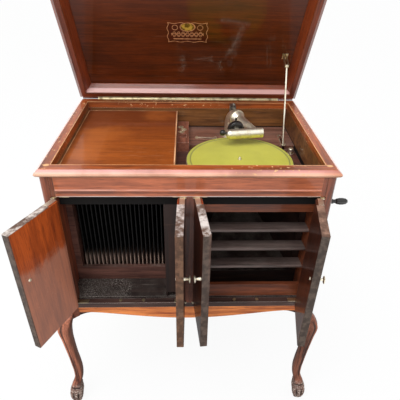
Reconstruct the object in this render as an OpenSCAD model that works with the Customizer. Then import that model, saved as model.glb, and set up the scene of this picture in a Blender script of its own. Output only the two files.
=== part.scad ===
// Floor-standing gramophone cabinet on cabriole legs, shown with its lid and its four doors open.
// X points right seen from the front, the front faces -Y, Z is up, and the floor is z = 0.

/* [Case] */
// Width over the corner posts
case_w = 727; // [700:1:760]
// Depth over the corner posts
case_d = 501; // [480:1:540]
// Height of the underside of the corner posts, which is the legs' height
leg_h = 372; // [340:1:400]
// Height of the front under the doors, from the posts' underside to the ledge
apron_h = 67; // [60:1:74]
// Height of the door opening
opening_h = 373; // [360:1:390]
// Height of the frieze above the door opening
frieze_h = 56; // [50:1:64]
// Width of a corner post, along both sides
post_w = 34; // [30:1:38]
// Radius of a post's outer corner
post_round = 10; // [4:1:14]
// Width of the stile between the two compartments
stile_w = 23; // [18:1:30]
// Thickness of the case's front rails
rail_t = 19.5; // [16:0.5:22]
// Thickness of a side panel
side_t = 18; // [12:1:20]
// How far a side panel lies back from the posts' faces
side_recess = 1.5; // [0.5:0.5:3]
// Thickness of the back panel
back_t = 9; // [6:1:12]
// Thickness of the floor board
floor_t = 18; // [12:1:22]
// Radius of the bead along the frieze
bead_r = 3; // [2:0.5:4]
// Height of the bead's middle above the door opening
bead_up = 16; // [12:1:24]

/* [Rim] */
// Height of the moulding round the top of the case
rim_h = 20; // [16:1:26]
// How far the moulding stands out from the case
rim_out = 7.5; // [5:0.5:10]
// Width of the moulding, from its inner edge to its outermost line
rim_w = 34.4; // [30:0.1:40]
// Width of the slope between the moulding's top and its outermost line
rim_slope = 11.3; // [6:0.1:14]
// Height of the outermost line above the moulding's underside
rim_nose = 8.2; // [6:0.1:12]

/* [Legs] */
// Thickness of the leg under the case
leg_top_w = 40; // [36:1:44]
// Thickness of the leg at its knee
knee_w = 41.5; // [36:0.5:46]
// Thickness of the leg at the ankle
ankle_w = 27; // [22:0.5:32]
// Width of the foot
foot_w = 44; // [36:1:50]
// How far the knee stands out, along each side
knee_out = 13; // [8:0.5:16]
// How far the ankle stands out, along each side
ankle_out = 4.4; // [0:0.1:8]
// How far the foot stands out, along each side
foot_out = 20; // [14:0.5:26]

/* [Doors] */
// Thickness of a door
door_t = 19; // [16:0.5:20]
// Gap round a door
door_gap = 0.6; // [0.5:0.1:1]
// Gap under and over a door, where the pivot hinges are
door_end_gap = 1.5; // [1.5:0.1:3]
// Radius of the inner corner beside the hinge
door_round = 9; // [4:0.5:10]
// How far each door stands open in degrees, from the left
door_open_1 = 116; // [0:0.5:125]
// Second door's angle in degrees
door_open_2 = 88.7; // [0:0.1:90]
// Third door's angle in degrees
door_open_3 = 84; // [0:0.5:84]
// Fourth door's angle in degrees
door_open_4 = 80; // [0:0.5:125]
// How far an outer door's pin stands outside the opening
pin_out = 6; // [5:0.5:8]
// Width across a knob's disc
knob_d = 20; // [16:1:22]
// How far a knob stands off its door
knob_out = 16; // [12:0.5:17]
// Distance of a knob from its door's free edge
knob_in = 24; // [18:1:30]
// Height of the knobs above the ledge
knob_up = 224; // [120:1:260]
// Thickness of a hinge leaf
leaf_t = 1.4; // [1:0.1:1.6]
// Radius of a door's hinge pin
hinge_pin_r = 2; // [1.5:0.1:2.5]
// Length of a hinge leaf
leaf_l = 32; // [24:1:40]

/* [Lid] */
// Height of the closed lid
lid_h = 42; // [36:1:50]
// How far the lid stands open in degrees
lid_open = 62.5; // [60:0.5:64]
// Width of the cove inside the lid's rails
cove_w = 16; // [10:1:20]
// Depth of the cove
cove_d = 29; // [20:1:30]
// Width of the lid's rails
lid_rail_w = 27; // [25:0.5:30]
// Thickness of the lid's panel
lid_panel_t = 10; // [8:1:14]
// Radius of the long hinge's pin
lid_pin_r = 1.2; // [1:0.1:1.5]
// Length of the long hinge
piano_l = 616; // [500:1:640]
// Distance of the hinge line from the rim's outermost line
hinge_in = 3; // [2:0.5:4]

/* [Well] */
// Depth of the motor board's top below the rim
board_drop = 99; // [94:1:103]
// Thickness of the motor board and of the shelf on it
board_t = 12; // [10:1:12]
// Depth of the raised shelf at the back
shelf_d = 148; // [130:1:150]
// Depth of the cover over the record side below the rim
cover_drop = 30; // [26:1:38]
// Thickness of that cover
cover_t = 12; // [9:1:14]
// Right edge of the cover, left of the middle
cover_edge = 38; // [30:1:44]
// Thickness of the wall under the cover's edge
divider_t = 12; // [9:1:14]
// Depth of the needle-cup block
cup_block_d = 172; // [150:1:174]
// Height of the needle-cup block over the board
cup_block_h = 31; // [26:1:34]

/* [Turntable] */
// Radius of the platter
platter_r = 152.4; // [140:0.1:152.6]
// Depth of the felt's top below the rim
platter_drop = 60; // [54:1:61]
// Middle of the platter, right of the middle
platter_x = 143.5; // [140:0.5:150]
// Middle of the platter, in front of the middle
platter_y = 75; // [72:0.5:75]
// Height of the platter's skirt
skirt_h = 20; // [14:1:24]
// Thickness of the felt
felt_t = 3; // [2:0.5:4]
// Radius of the spindle
spindle_r = 3.6; // [3:0.1:4]

/* [Tonearm] */
// Distance of the arm's pivot right of the middle
arm_x = 144; // [140:1:150]
// Distance of the arm's pivot behind the middle
arm_y = 155; // [150:1:160]
// Depth of the arm's middle line below the rim, at its elbow
arm_drop = 17; // [15:0.5:20]
// Fall of the arm from its elbow to the cross tube
arm_fall = 6; // [0:0.5:7]
// Length of the arm from its pivot to the cross tube
arm_l = 141; // [136:1:146]
// How far the arm is swung outwards in degrees
arm_yaw = 23.5; // [0:0.5:24]
// Angle between the cross tube and a square crossing, in degrees
cross_skew = -15; // [-16:0.5:0]
// Radius of the arm at its elbow
elbow_r = 25; // [18:0.5:25.5]
// Radius of the arm at the cross tube
arm_end_r = 12.5; // [10:0.5:13.5]
// Radius of the cross tube
cross_r = 15; // [13.5:0.5:16]
// Radius of the sound box
box_r = 25; // [22:0.5:26]
// Thickness of the sound box
box_t = 15; // [10:0.5:18]
// Distance of the sound box behind the cross tube's middle line
box_back = 20; // [18:0.5:24]
// How far the sound box is thrown back past level, in degrees
box_tilt = 10; // [0:1:22]

/* [Record rack] */
// Number of dividers
dividers = 20; // [16:1:24]
// Thickness of a divider
divider_plate_t = 3; // [2:0.5:4]
// Thickness of the rack's outer cheek
rack_cheek = 18; // [16:1:24]
// Right inner face of the rack, left of the middle
rack_right = 71; // [68:1:80]
// Front of the rack, in front of the middle
rack_front = 155; // [140:1:160]
// Back of the rack, behind the middle
rack_back = 190; // [170:1:200]
// Height of the rack's dividers
divider_h = 300; // [240:1:310]
// Height of the rack's base
rack_base_h = 24; // [16:1:30]
// Height of the strip along the rack's front
rack_strip_h = 50; // [40:1:60]

/* [Louvres] */
// Number of louvres
louvres = 3; // [2:1:4]
// Height of the louvre opening's lower edge above the ledge
louvre_up = 53; // [46:1:60]
// Height of the louvre opening
louvre_open_h = 260.7; // [248:0.1:266]
// Thickness of a louvre
louvre_t = 9.5; // [8:0.5:12]
// Depth of a louvre
louvre_d = 42; // [30:1:44]
// Fall of a louvre towards the back, in degrees
louvre_fall = 6; // [0:1:8]

/* [Horn] */
// Height of the horn's mouth
mouth_h = 230; // [200:1:232]
// Distance of the horn's mouth from the walls on each side
mouth_in = 11.5; // [10.5:0.5:40]
// Inside width of the horn's throat
throat_w = 52; // [50:1:60]
// Thickness of the horn's boards
horn_t = 6; // [5:1:8]
// Outer radius of the metal throat
pipe_r = 24; // [20:1:25]
// Wall of the metal throat
pipe_wall = 4; // [3:0.5:5]

/* [Motor] */
// Height between the motor's plates
motor_gap = 40; // [40:1:42]
// Thickness of a motor plate
plate_t = 3; // [2.5:0.5:4]
// Tooth size of the spring barrel's gear
gear_m = 1.5; // [1.5:0.1:1.5]
// Teeth on the barrel gear
barrel_teeth = 66; // [60:1:66]
// Teeth on the spindle pinion
pinion_teeth = 16; // [14:1:18]
// Radius of the spring barrel
barrel_r = 39; // [34:1:40]
// Radius of the winding shaft
shaft_r = 4; // [3.5:0.1:4.5]
// Radius of the crank's turning circle
crank_l = 102; // [90:1:110]
// Angle of the crank's arm over the horizontal, in degrees
crank_angle = 15.5; // [0:0.5:30]
// Running gap round a shaft
run_gap = 0.05; // [0.02:0.01:0.1]

/* [Hidden] */
$fn = 48;

// Case planes worked out from the sizes above.
cx = case_w / 2;
cy = case_d / 2;
post_x = cx - post_w;
front_y = -cy;
// hairline between two boards of one node, which keeps them apart as pieces
joint_gap = 0.1;
rail_back = front_y + rail_t;
ledge_z = leg_h + apron_h;
open_top = ledge_z + opening_h;
case_top = open_top + frieze_h;
top_z = case_top + rim_h;
rim_x = cx + rim_out;
rim_y = cy + rim_out;
well_x = rim_x - rim_w;
well_y = rim_y - rim_w;
side_out = cx - side_recess;
side_in = side_out - side_t;
rack_left = side_in - rack_cheek;
back_out = cy - 2;
back_in = back_out - back_t;
floor_z = ledge_z + 7;
knob_z = ledge_z + knob_up;
louvre_low = ledge_z + louvre_up;
louvre_high = louvre_low + louvre_open_h;
board_z = top_z - board_drop;
cover_z = top_z - cover_drop;
platter_z = top_z - platter_drop;
arm_z = top_z - arm_drop;
cross_z = arm_z - arm_fall;
board_low = board_z - board_t;
shelf_z = board_z + board_t;
stile_x = stile_w / 2;

// Post: square with one rounded outer corner and a bead line cut down its front face.
knee_rise = 15;
knee_run = post_w - 11.5;
module knee_wedge() {
    // the slope under the post that carries the leg's inner line up to the knee block
    rotate([90, 0, 90])
        linear_extrude(post_w + 2)
            polygon([[-1, -1], [knee_run + knee_run / knee_rise, -1], [-1, knee_rise + knee_rise / knee_run]]);
}

module post(sx, sy) {
    corner = post_w - post_round;
    groove = 1.2;
    groove_in = 23.5;
    mirror([sx < 0 ? 1 : 0, 0, 0])
        mirror([0, sy < 0 ? 1 : 0, 0])
            difference() {
                translate([post_x, cy - post_w, leg_h])
                    linear_extrude(case_top - leg_h)
                        difference() {
                            union() {
                                square([post_w, corner]);
                                square([corner, post_w]);
                                translate([corner, corner]) circle(post_round);
                            }
                            translate([post_w - groove_in, post_w]) circle(groove);
                            translate([post_w, post_w - groove_in]) circle(groove);
                        }
                if (sy < 0)
                    translate([post_x + pin_out, cy, 0]) hinge_notches(outer_notch_r, 0);
                translate([post_x - 1, cy - post_w, leg_h]) knee_wedge();
                translate([post_x, cy + 1, leg_h]) rotate([0, 0, -90]) knee_wedge();
                // the well's linings and the motor board run past the post's inner corner
                translate([post_x - 1, cy - post_w - 1, lining_low])
                    cube([side_in - post_x + 1, well_y - cy + post_w + 1, case_top - lining_low + 1]);
            }
}

module corner_posts() {
    color("saddlebrown")
        for (sx = [-1, 1])
            for (sy = [-1, 1])
                post(sx, sy);
}

// Frieze profile in the Y-Z plane: a board with a bead along its lower part.
module frieze_profile(t) {
    square([t, frieze_h]);
    translate([0, bead_up]) circle(bead_r);
}

module front_frieze() {
    color("sienna")
        translate([-post_x, front_y, open_top])
            rotate([90, 0, 90])
                linear_extrude(2 * post_x)
                    frieze_profile(rail_t);
}

// A board whose lower edge is flat beside the legs and dips in the middle.
apron_steps = 20;
module apron_outline(half, top) {
    flat_x = half - knee_block_w;
    dip = [for (i = [0:apron_steps]) let (x = -flat_x + 2 * flat_x * i / apron_steps)
        [x, apron_flat - (apron_flat - apron_low) * pow(cos(90 * x / flat_x), 1.3)]];
    polygon(concat([[half, apron_flat], [half, top], [-half, top], [-half, apron_flat]], dip));
}

module side_panels() {
    half = cy - post_w;
    color("saddlebrown")
        for (s = [-1, 1])
            mirror([s < 0 ? 1 : 0, 0, 0])
                difference() {
                    union() {
                        translate([side_in, 0, 0])
                            rotate([90, 0, 90]) linear_extrude(side_t) apron_outline(half, case_top);
                        translate([side_out, -half, open_top + bead_up])
                            rotate([-90, 0, 0]) cylinder(r = bead_r, h = 2 * half);
                    }
                    if (s > 0)
                        translate([side_in - 1, crank_y, crank_z])
                            rotate([0, 90, 0]) cylinder(r = shaft_r + 3, h = side_t + 2);
                }
}

module back_panel() {
    low = leg_h + 30;
    color("peru")
        translate([-post_x, back_in, low])
            cube([2 * post_x, back_t, case_top - low]);
}

module bottom_rail() {
    color("sienna")
        translate([-post_x, front_y, ledge_z - floor_t])
            cube([2 * post_x, rail_t, floor_t]);
}

module centre_stile() {
    color("saddlebrown")
        difference() {
            translate([-stile_x, front_y, ledge_z])
                cube([stile_w, rail_t, opening_h]);
            for (s = [-1, 1])
                translate([s * stile_x, front_y, 0]) hinge_notches(eye_r + 0.3, leaf_t);
        }
}

// The apron's lower edge dips in the middle, and meets the knee blocks at its ends.
apron_low = leg_h - 0.5;
apron_flat = leg_h + 28;
knee_block_w = 37.5;
knee_block_t = 17;
module front_apron() {
    color("chocolate")
        translate([0, rail_back, 0])
            rotate([90, 0, 0]) linear_extrude(rail_t - 1) apron_outline(post_x, ledge_z - floor_t);
}

// Curved blocks beside each leg, under the apron and under the side panels.
module knee_block() {
    drop = apron_flat - leg_h;
    tip = 1.5;
    steps = 10;
    lower = [for (i = [0:steps]) [knee_block_w * i / steps, mix(knee_rise, drop - tip, sin(90 * i / steps))]];
    rotate([90, 0, 0])
        linear_extrude(knee_block_t)
            polygon(concat([[0, drop]], lower, [[knee_block_w, drop]]));
}

module knee_blocks() {
    color("#4a2415")
        for (s = [-1, 1]) {
            mirror([s > 0 ? 1 : 0, 0, 0])
                translate([-post_x, rail_back - 0.5, leg_h]) knee_block();
            for (q = [-1, 1])
                mirror([s < 0 ? 1 : 0, 0, 0])
                    mirror([0, q > 0 ? 1 : 0, 0])
                        translate([side_in, post_w - cy, leg_h]) rotate([0, 0, 90]) mirror([0, 1, 0])
                            translate([0, knee_block_t, 0]) knee_block();
        }
}

// Board that closes the bottom, the partition and the boards inside.
module floor_board() {
    color("sienna")
        difference() {
            translate([-side_in, rail_back, floor_z - floor_t])
                cube([2 * side_in, back_in - rail_back, floor_t]);
            for (s = [-1, 1])
                translate([s > 0 ? post_x : -side_in - 1, rail_back - 1, floor_z - floor_t - 1])
                    cube([side_in - post_x + 1, front_y + post_w - rail_back + 1, floor_t + 2]);
            for (s = [-1, 1])
                translate([s > 0 ? post_x : -side_in - 1, cy - post_w, floor_z - floor_t - 1])
                    cube([side_in - post_x + 1, post_w, floor_t + 2]);
        }
}

part_t = 18;
module partition() {
    color("#5a2d1a")
        translate([-part_t / 2, rail_back, floor_z])
            cube([part_t, back_in - rail_back, board_low - floor_z]);
}

// Narrow board left of the stile, with a notch at its foot.
filler_left = 68;
module filler_board() {
    color("#5a2d1a")
        translate([0, rail_back + board_t, 0])
            rotate([90, 0, 0])
                linear_extrude(board_t)
                    difference() {
                        translate([-filler_left, floor_z])
                            square([filler_left - part_t / 2, board_low - floor_z]);
                        translate([-64, floor_z - 1]) square([23, 18]);
                    }
}

// Well linings, which the rim's inner edge lies flush with.
lining_low = board_low;
module well_linings() {
    h = case_top - lining_low;
    side_len = 2 * (well_y - joint_gap);
    relief = 2;
    color("#5b2b18") {
        difference() {
            translate([-post_x, rail_back, lining_low])
                cube([2 * post_x, -well_y - rail_back, h]);
            // hollowed out where the platter's edge runs past
            translate([platter_x, -platter_y, platter_z - felt_t - skirt_h - relief])
                cylinder(r = platter_r + relief, h = skirt_h + felt_t + 2 * relief, $fn = 120);
        }
        for (s = [-1, 1])
            translate([s > 0 ? well_x : -side_in, -well_y + joint_gap, lining_low])
                cube([side_in - well_x, side_len, h]);
        translate([-post_x, well_y, lining_low]) cube([2 * post_x, back_in - well_y, h]);
    }
}

// Rim moulding: a profile with a sloped top edge and a hollow below its nose.
module rim_profile() {
    step = rim_out;
    difference() {
        polygon([[0, 0], [rim_w - step, 0], [rim_w - step, 1.5], [rim_w - 3, 3], [rim_w, rim_nose],
                 [rim_w - 1.5, rim_nose + 4], [rim_w - rim_slope, rim_h], [0, rim_h]]);
        translate([rim_w - 0.5, 1.2]) circle(3);
    }
}

module rim_rail(len) {
    // a rail along +X, its inner edge on y = 0 and its outer edge towards -Y, with mitred ends
    difference() {
        translate([-len / 2, 0, 0])
            rotate([90, 0, 90])
                mirror([1, 0, 0])
                    linear_extrude(len)
                        rim_profile();
        for (s = [-1, 1])
            translate([s * (len / 2 - rim_w - joint_gap), 0, -1])
                rotate([0, 0, s > 0 ? -45 : 225])
                    translate([0, s > 0 ? 0 : -mitre_cut, 0])
                        cube([mitre_cut, mitre_cut, rim_h + 2]);
    }
}

module rim_moulding() {
    color("brown") {
        translate([0, -well_y, case_top]) rim_rail(2 * rim_x);
        translate([0, well_y, case_top]) rotate([0, 0, 180]) rim_rail(2 * rim_x);
        for (s = [-1, 1])
            translate([s * well_x, 0, case_top]) rotate([0, 0, 90 * s]) rim_rail(2 * rim_y);
    }
}

// Cabriole leg: rounded square sections along a curved line on the corner's diagonal.
function mix(a, b, t) = a + (b - a) * t;
leg_stations = [
    // height as a share of the leg, set out from the corner, width
    [1.065, -10, 14], [1.05, -4, 24], [1.03, 3, 34], [1, knee_out - 4.5, leg_top_w], [0.955, knee_out, knee_w + 1.5],
    [0.92, knee_out, knee_w + 0.5], [0.84, knee_out - 1, knee_w - 4.5], [0.72, knee_out - 3.2, knee_w - 7.5],
    [0.60, knee_out - 5, knee_w - 10.5], [0.47, ankle_out + 1.2, ankle_w + 2.5],
    [0.36, ankle_out, ankle_w + 1.5], [0.265, ankle_out + 3, ankle_w],
    [0.215, ankle_out + 8.5, ankle_w + 2], [0.175, foot_out - 4.5, ankle_w + 9], [0.125, foot_out - 1.5, foot_w],
    [0.06, foot_out + 1, foot_w - 3], [0.02, foot_out + 1, foot_w - 8], [0, foot_out + 1, foot_w - 12]];
function slope(k, i) =
    let (a = max(i - 1, 0), b = min(i + 1, len(leg_stations) - 1))
    (leg_stations[b][k] - leg_stations[a][k]) / (leg_stations[b][0] - leg_stations[a][0]);
function smooth(k, i, t) =
    let (p = leg_stations[i][k], q = leg_stations[i + 1][k],
         d = leg_stations[i + 1][0] - leg_stations[i][0], m = slope(k, i) * d, n = slope(k, i + 1) * d)
    (2 * t * t * t - 3 * t * t + 1) * p + (t * t * t - 2 * t * t + t) * m
    + (3 * t * t - 2 * t * t * t) * q + (t * t * t - t * t) * n;
leg_sides = 20;
leg_steps = 2;
leg_rows = [for (i = [0:len(leg_stations) - 2]) for (j = [0:leg_steps - 1]) let (t = j / leg_steps)
    [mix(leg_stations[i][0], leg_stations[i + 1][0], t), smooth(1, i, t), smooth(2, i, t)],
    leg_stations[len(leg_stations) - 1]];
// rounded square section, between a circle and a square
function leg_ring(w, a) = w / 2 / pow(pow(abs(cos(a)), 3) + pow(abs(sin(a)), 3), 1 / 3);
module leg() {
    n = len(leg_rows);
    pts = [for (r = leg_rows) for (k = [0:leg_sides - 1])
        let (a = 360 * k / leg_sides, q = leg_ring(r[2], a))
        [cx + r[1] + q * cos(a), cy + r[1] + q * sin(a), r[0] * leg_h]];
    sides = [for (i = [0:n - 2]) for (k = [0:leg_sides - 1])
        [i * leg_sides + k, i * leg_sides + (k + 1) % leg_sides,
         (i + 1) * leg_sides + (k + 1) % leg_sides, (i + 1) * leg_sides + k]];
    top = [for (k = [leg_sides - 1:-1:0]) k];
    sole = [for (k = [0:leg_sides - 1]) (n - 1) * leg_sides + k];
    difference() {
        polyhedron(pts, concat(sides, [top, sole]));
        // the corner post and the boards stand on the leg, inside its shoulder
        translate([0, 0, leg_h]) cube([cx, cy, leg_h]);
    }
}

module legs() {
    color("#6b3a22")
        for (sx = [0, 1])
            for (sy = [0, 1])
                mirror([sx, 0, 0]) mirror([0, sy, 0]) leg();
}

// Record rack.
rack_w = rack_left - rack_right;
rack_strip_t = 12;
slot_pitch = (rack_w + divider_plate_t) / (dividers + 1);
module rack_frame() {
    cheek_h = divider_h + rack_base_h + 7;
    depth = rack_front + rack_back;
    color("#4a2415") {
        translate([-rack_left, rack_strip_t + joint_gap - rack_front, floor_z])
            cube([rack_w, depth - rack_strip_t - joint_gap, rack_base_h]);
        translate([-rack_left, -rack_front, floor_z]) cube([rack_w, rack_strip_t, rack_strip_h]);
        translate([-side_in, -rack_front, floor_z]) cube([side_in - rack_left - joint_gap, depth, cheek_h]);
        translate([joint_gap - rack_right, -rack_front, floor_z]) cube([12, depth, cheek_h]);
    }
}

module record_dividers() {
    d = rack_front - rack_strip_t + rack_back - 6;
    round = 60;
    color("#2a1a12")
        for (i = [1:dividers])
            translate([-rack_left - divider_plate_t + i * slot_pitch, rack_strip_t + joint_gap - rack_front, floor_z + rack_base_h])
                rotate([90, 0, 90])
                    linear_extrude(divider_plate_t)
                        union() {
                            square([d, divider_h - round]);
                            translate([round, 0]) square([d - round, divider_h]);
                            translate([round, divider_h - round]) circle(round, $fn = 64);
                        }
}

// Louvres, their end cheeks and the boards above and below them.
cheek_x = post_x - 1.5;
louvre_y = rail_back + 9;
module louvre_frame() {
    post_end = front_y + post_w;
    width = cheek_x - part_t / 2;
    color("#4a2415") {
        translate([part_t / 2, rail_back, louvre_high]) cube([width, board_t, board_low - louvre_high]);
        translate([part_t / 2, rail_back, floor_z]) cube([width, board_t, louvre_low - floor_z]);
        union() {
            translate([cheek_x + joint_gap, rail_back, floor_z])
                cube([post_x - cheek_x - joint_gap, baffle_y - rail_back, board_low - floor_z]);
            translate([cheek_x, post_end, floor_z])
                cube([side_in - cheek_x, baffle_y - post_end, board_low - floor_z]);
        }
    }
}

louvre_pitch = (louvre_high - louvre_low) / (louvres + 1);
module louvre_slats() {
    color("#3c3530")
        for (i = [1:louvres])
            translate([part_t / 2, louvre_y, louvre_low + i * louvre_pitch])
                rotate([-louvre_fall, 0, 0])
                    rotate([90, 0, 90])
                        linear_extrude(cheek_x - part_t / 2)
                            union() {
                                translate([louvre_t / 2, -louvre_t]) square([louvre_d - louvre_t / 2, louvre_t]);
                                translate([louvre_t / 2, -louvre_t / 2]) circle(louvre_t / 2);
                            }
}

baffle_y = rail_back + 55;
mouth_x = (part_t / 2 + cheek_x) / 2;
mouth_low = louvre_low;
mouth_w = cheek_x - part_t / 2 - 2 * mouth_in;
module horn_baffle() {
    translate([0, baffle_y + board_t, 0])
            rotate([90, 0, 0])
                linear_extrude(board_t)
                    difference() {
                        translate([part_t / 2, floor_z])
                            square([side_in - part_t / 2, board_low - floor_z]);
                        translate([mouth_x - mouth_w / 2 + horn_t, mouth_low + horn_t])
                            square([mouth_w - 2 * horn_t, mouth_h - 2 * horn_t]);
                    }
}

// Horn: four boards from the mouth back to a square throat, then a metal elbow up to the board.
horn_front = baffle_y + board_t;
horn_bend = 43;
throat_y = arm_y - horn_bend;
throat_z = mouth_low + mouth_h - throat_w / 2 - horn_t;
flange_t = 4;
throat_front = throat_y - flange_t;
module corner_bar(y, x0, x1, z0, z1) {
    translate([x0, y, z0]) cube([x1 - x0, 0.01, z1 - z0]);
}

module horn_wall(x0, x1, z0, z1, u0, u1, w0, w1) {
    // a flat board from the mouth (x, z) to the throat (u, w)
    hull() {
        corner_bar(horn_front, x0, x1, z0, z1);
        corner_bar(throat_front - 0.01, u0, u1, w0, w1);
    }
}

module horn_boards() {
    m0 = mouth_x - mouth_w / 2;
    m1 = mouth_x + mouth_w / 2;
    mz = mouth_low + mouth_h;
    t0 = arm_x - throat_w / 2 - horn_t;
    t1 = arm_x + throat_w / 2 + horn_t;
    tz0 = throat_z - throat_w / 2;
    tz1 = throat_z + throat_w / 2;
    color("#6b4a30") {
        horn_baffle();
        horn_wall(m0, m1, mz - horn_t, mz, t0, t1, tz1, tz1 + horn_t);
        horn_wall(m0, m1, mouth_low, mouth_low + horn_t, t0, t1, tz0 - horn_t, tz0);
        horn_wall(m0, m0 + horn_t, mouth_low + horn_t, mz - horn_t, t0, t0 + horn_t, tz0, tz1);
        horn_wall(m1 - horn_t, m1, mouth_low + horn_t, mz - horn_t, t1 - horn_t, t1, tz0, tz1);
    }
}

module ring(r, wall, h) {
    linear_extrude(h)
        difference() {
            circle(r);
            circle(r - wall);
        }
}

module horn_elbow() {
    flange = throat_w + 2 * horn_t;
    color("dimgray")
        union() {
            // flange on the horn's throat
            translate([arm_x, throat_y, throat_z])
                rotate([90, 0, 0])
                    linear_extrude(flange_t)
                        difference() {
                            square(flange, center = true);
                            circle(pipe_r - pipe_wall);
                        }
            // quarter bend
            translate([arm_x, throat_y, throat_z + horn_bend])
                rotate([0, 90, 0])
                    rotate_extrude(angle = 90)
                        translate([horn_bend, 0])
                            difference() {
                                circle(pipe_r);
                                circle(pipe_r - pipe_wall);
                            }
            // straight end up to the motor board
            translate([arm_x, arm_y, throat_z + horn_bend]) ring(pipe_r, pipe_wall, board_low - throat_z - horn_bend);
        }
}

// Motor board, raised shelf, the wall and the cover of the record side, and the cups.
stay_x = well_x - 33.6;
stay_slot_y = [74, 151];
stay_slot_w = 8;
slot_more = 3.5;
module stay_slot(z, h, more) {
    // the boards' slot runs further forward than the plate's, because the rod leans
    translate([stay_x - stay_slot_w / 2, stay_slot_y[0] - more, z])
        cube([stay_slot_w, stay_slot_y[1] - stay_slot_y[0] + more, h]);
}

module motor_board() {
    left = -cover_edge - divider_t;
    color("#4b2a1c")
        difference() {
            translate([left, -well_y, board_low]) cube([well_x - left, 2 * well_y, board_t]);
            translate([platter_x, -platter_y, board_low - 1]) cylinder(r = spindle_r + 8, h = board_t + 2);
            translate([arm_x, arm_y, board_low - 1]) cylinder(r = pipe_r - pipe_wall, h = board_t + 2);
            stay_slot(board_low - 1, board_t + 2, slot_more);
        }
}

module rear_shelf() {
    color("#5c3430")
        difference() {
            translate([0, well_y - shelf_d, board_z]) cube([well_x, shelf_d, board_t]);
            translate([arm_x, arm_y, board_z - 1]) cylinder(r = pipe_r - pipe_wall, h = board_t + 2);
            stay_slot(board_z - 1, board_t + 2, slot_more);
        }
}

module cover_panel() {
    gap = 0.5;
    color("chocolate")
        translate([-well_x + gap, -well_y + gap, cover_z - cover_t])
            cube([well_x - gap - cover_edge, 2 * (well_y - gap), cover_t]);
}

module cover_supports() {
    cleat = 10;
    low = cover_z - cover_t - 14;
    color("#4b2a1c") {
        translate([-cover_edge - divider_t, -well_y, board_z])
            cube([divider_t, 2 * well_y, cover_z - cover_t - board_z]);
        translate([-well_x, -well_y, low]) cube([cleat, 2 * well_y, 14]);
        for (y = [-well_y, well_y - cleat])
            translate([-well_x + cleat + joint_gap, y, low])
                cube([well_x - cleat - cover_edge - divider_t - 2 * joint_gap, cleat, 14]);
    }
}

cup_r = 8;
cup_z = board_z + cup_block_h;
cup_places = [[-27, 172], [-17, 153], [-24, 133]];
tray_x = [-32, -8];
tray_y = [88, 116];
module cup_block() {
    y0 = well_y - cup_block_d;
    color("#3a2018")
        difference() {
            translate([-cover_edge, y0, board_z]) cube([cover_edge, cup_block_d, cup_block_h]);
            for (c = cup_places)
                translate([c[0], c[1], cup_z - 9]) cylinder(r = cup_r + 1, h = 10);
            translate([tray_x[0], tray_y[0], cup_z - 9])
                cube([tray_x[1] - tray_x[0], tray_y[1] - tray_y[0], 10]);
        }
}

module needle_cups() {
    color("silver")
        for (c = cup_places)
            translate([c[0], c[1], cup_z - 9])
                rotate_extrude()
                    polygon([[0, 0], [6, 0], [8, 3], [8, 9], [10.5, 9], [10.5, 10], [7, 10], [7, 3.4], [5.4, 1], [0, 1]]);
}

// Turntable.
module platter() {
    low = platter_z - felt_t - skirt_h;
    top = platter_z - felt_t;
    color("silver")
        translate([platter_x, -platter_y, 0])
            rotate_extrude($fn = 120)
                polygon([[spindle_r + 2, top - 14], [12, top - 14], [12, top - 4], [platter_r - 4, top - 4],
                         [platter_r - 4, low], [platter_r - 1, low], [platter_r, low + 2],
                         [platter_r, top - 1.5], [platter_r - 1.5, top], [spindle_r + 2, top]]);
}

module felt() {
    color("yellowgreen")
        translate([platter_x, -platter_y, 0])
            rotate_extrude($fn = 120)
                polygon([[spindle_r + 2, platter_z - felt_t], [platter_r - 2, platter_z - felt_t],
                         [platter_r - 1.2, platter_z - felt_t + 1], [platter_r - 2.5, platter_z],
                         [spindle_r + 2, platter_z]]);
}

// Gear outline with straight-sided teeth.
function gear_points(teeth, m, depth) = [for (i = [0:teeth - 1]) for (k = [0:3])
    let (a = 360 * (i + [-0.27, -0.12, 0.12, 0.27][k]) / teeth, r = teeth * m / 2 + [-1.15, 0.85, 0.85, -1.15][k] * depth)
    [r * cos(a), r * sin(a)]];

motor_top = board_low;
motor_low = motor_top - 2 * plate_t - motor_gap;
barrel_x = platter_x + gear_m * (barrel_teeth + pinion_teeth) / 2;
module spindle() {
    hub_z = platter_z - felt_t - 14;
    color("silver")
        translate([platter_x, -platter_y, 0])
            union() {
                translate([0, 0, motor_low]) cylinder(r = spindle_r, h = platter_z + 3 - motor_low);
                translate([0, 0, platter_z + 3]) cylinder(r1 = spindle_r, r2 = 1.2, h = 5);
                translate([0, 0, hub_z]) cylinder(r = spindle_r + 2, h = 14 + felt_t);
                translate([0, 0, barrel_z - 1])
                    rotate([0, 0, 180 / pinion_teeth])
                        linear_extrude(7) polygon(gear_points(pinion_teeth, gear_m, 1.2));
                translate([0, 0, gov_z - 3]) linear_extrude(6) polygon(gear_points(40, 1, 0.9));
            }
}

barrel_z = motor_low + plate_t + 12;
module spring_barrel() {
    color("goldenrod")
        translate([barrel_x, -platter_y, barrel_z])
            difference() {
                union() {
                    linear_extrude(5) polygon(gear_points(barrel_teeth, gear_m, 1.2));
                    cylinder(r = barrel_r, h = 26, $fn = 96);
                }
                translate([0, 0, -1]) cylinder(r = shaft_r + run_gap, h = 30);
            }
}

wheel_teeth = 36;
worm_r = 5.5;
wheel_r = 22.5;
crank_y = -platter_y - wheel_r - worm_r - 0.4;
crank_z = motor_low + plate_t + worm_r + 0.5;
module winding_arbor() {
    color("silver")
        translate([barrel_x, -platter_y, 0]) {
            translate([0, 0, motor_low]) cylinder(r = shaft_r, h = motor_top - motor_low - 0.5);
            translate([0, 0, crank_z - 4]) linear_extrude(8)
                polygon(gear_points(wheel_teeth, 2 * (wheel_r - 0.85) / wheel_teeth, 0.9));
        }
}

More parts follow.
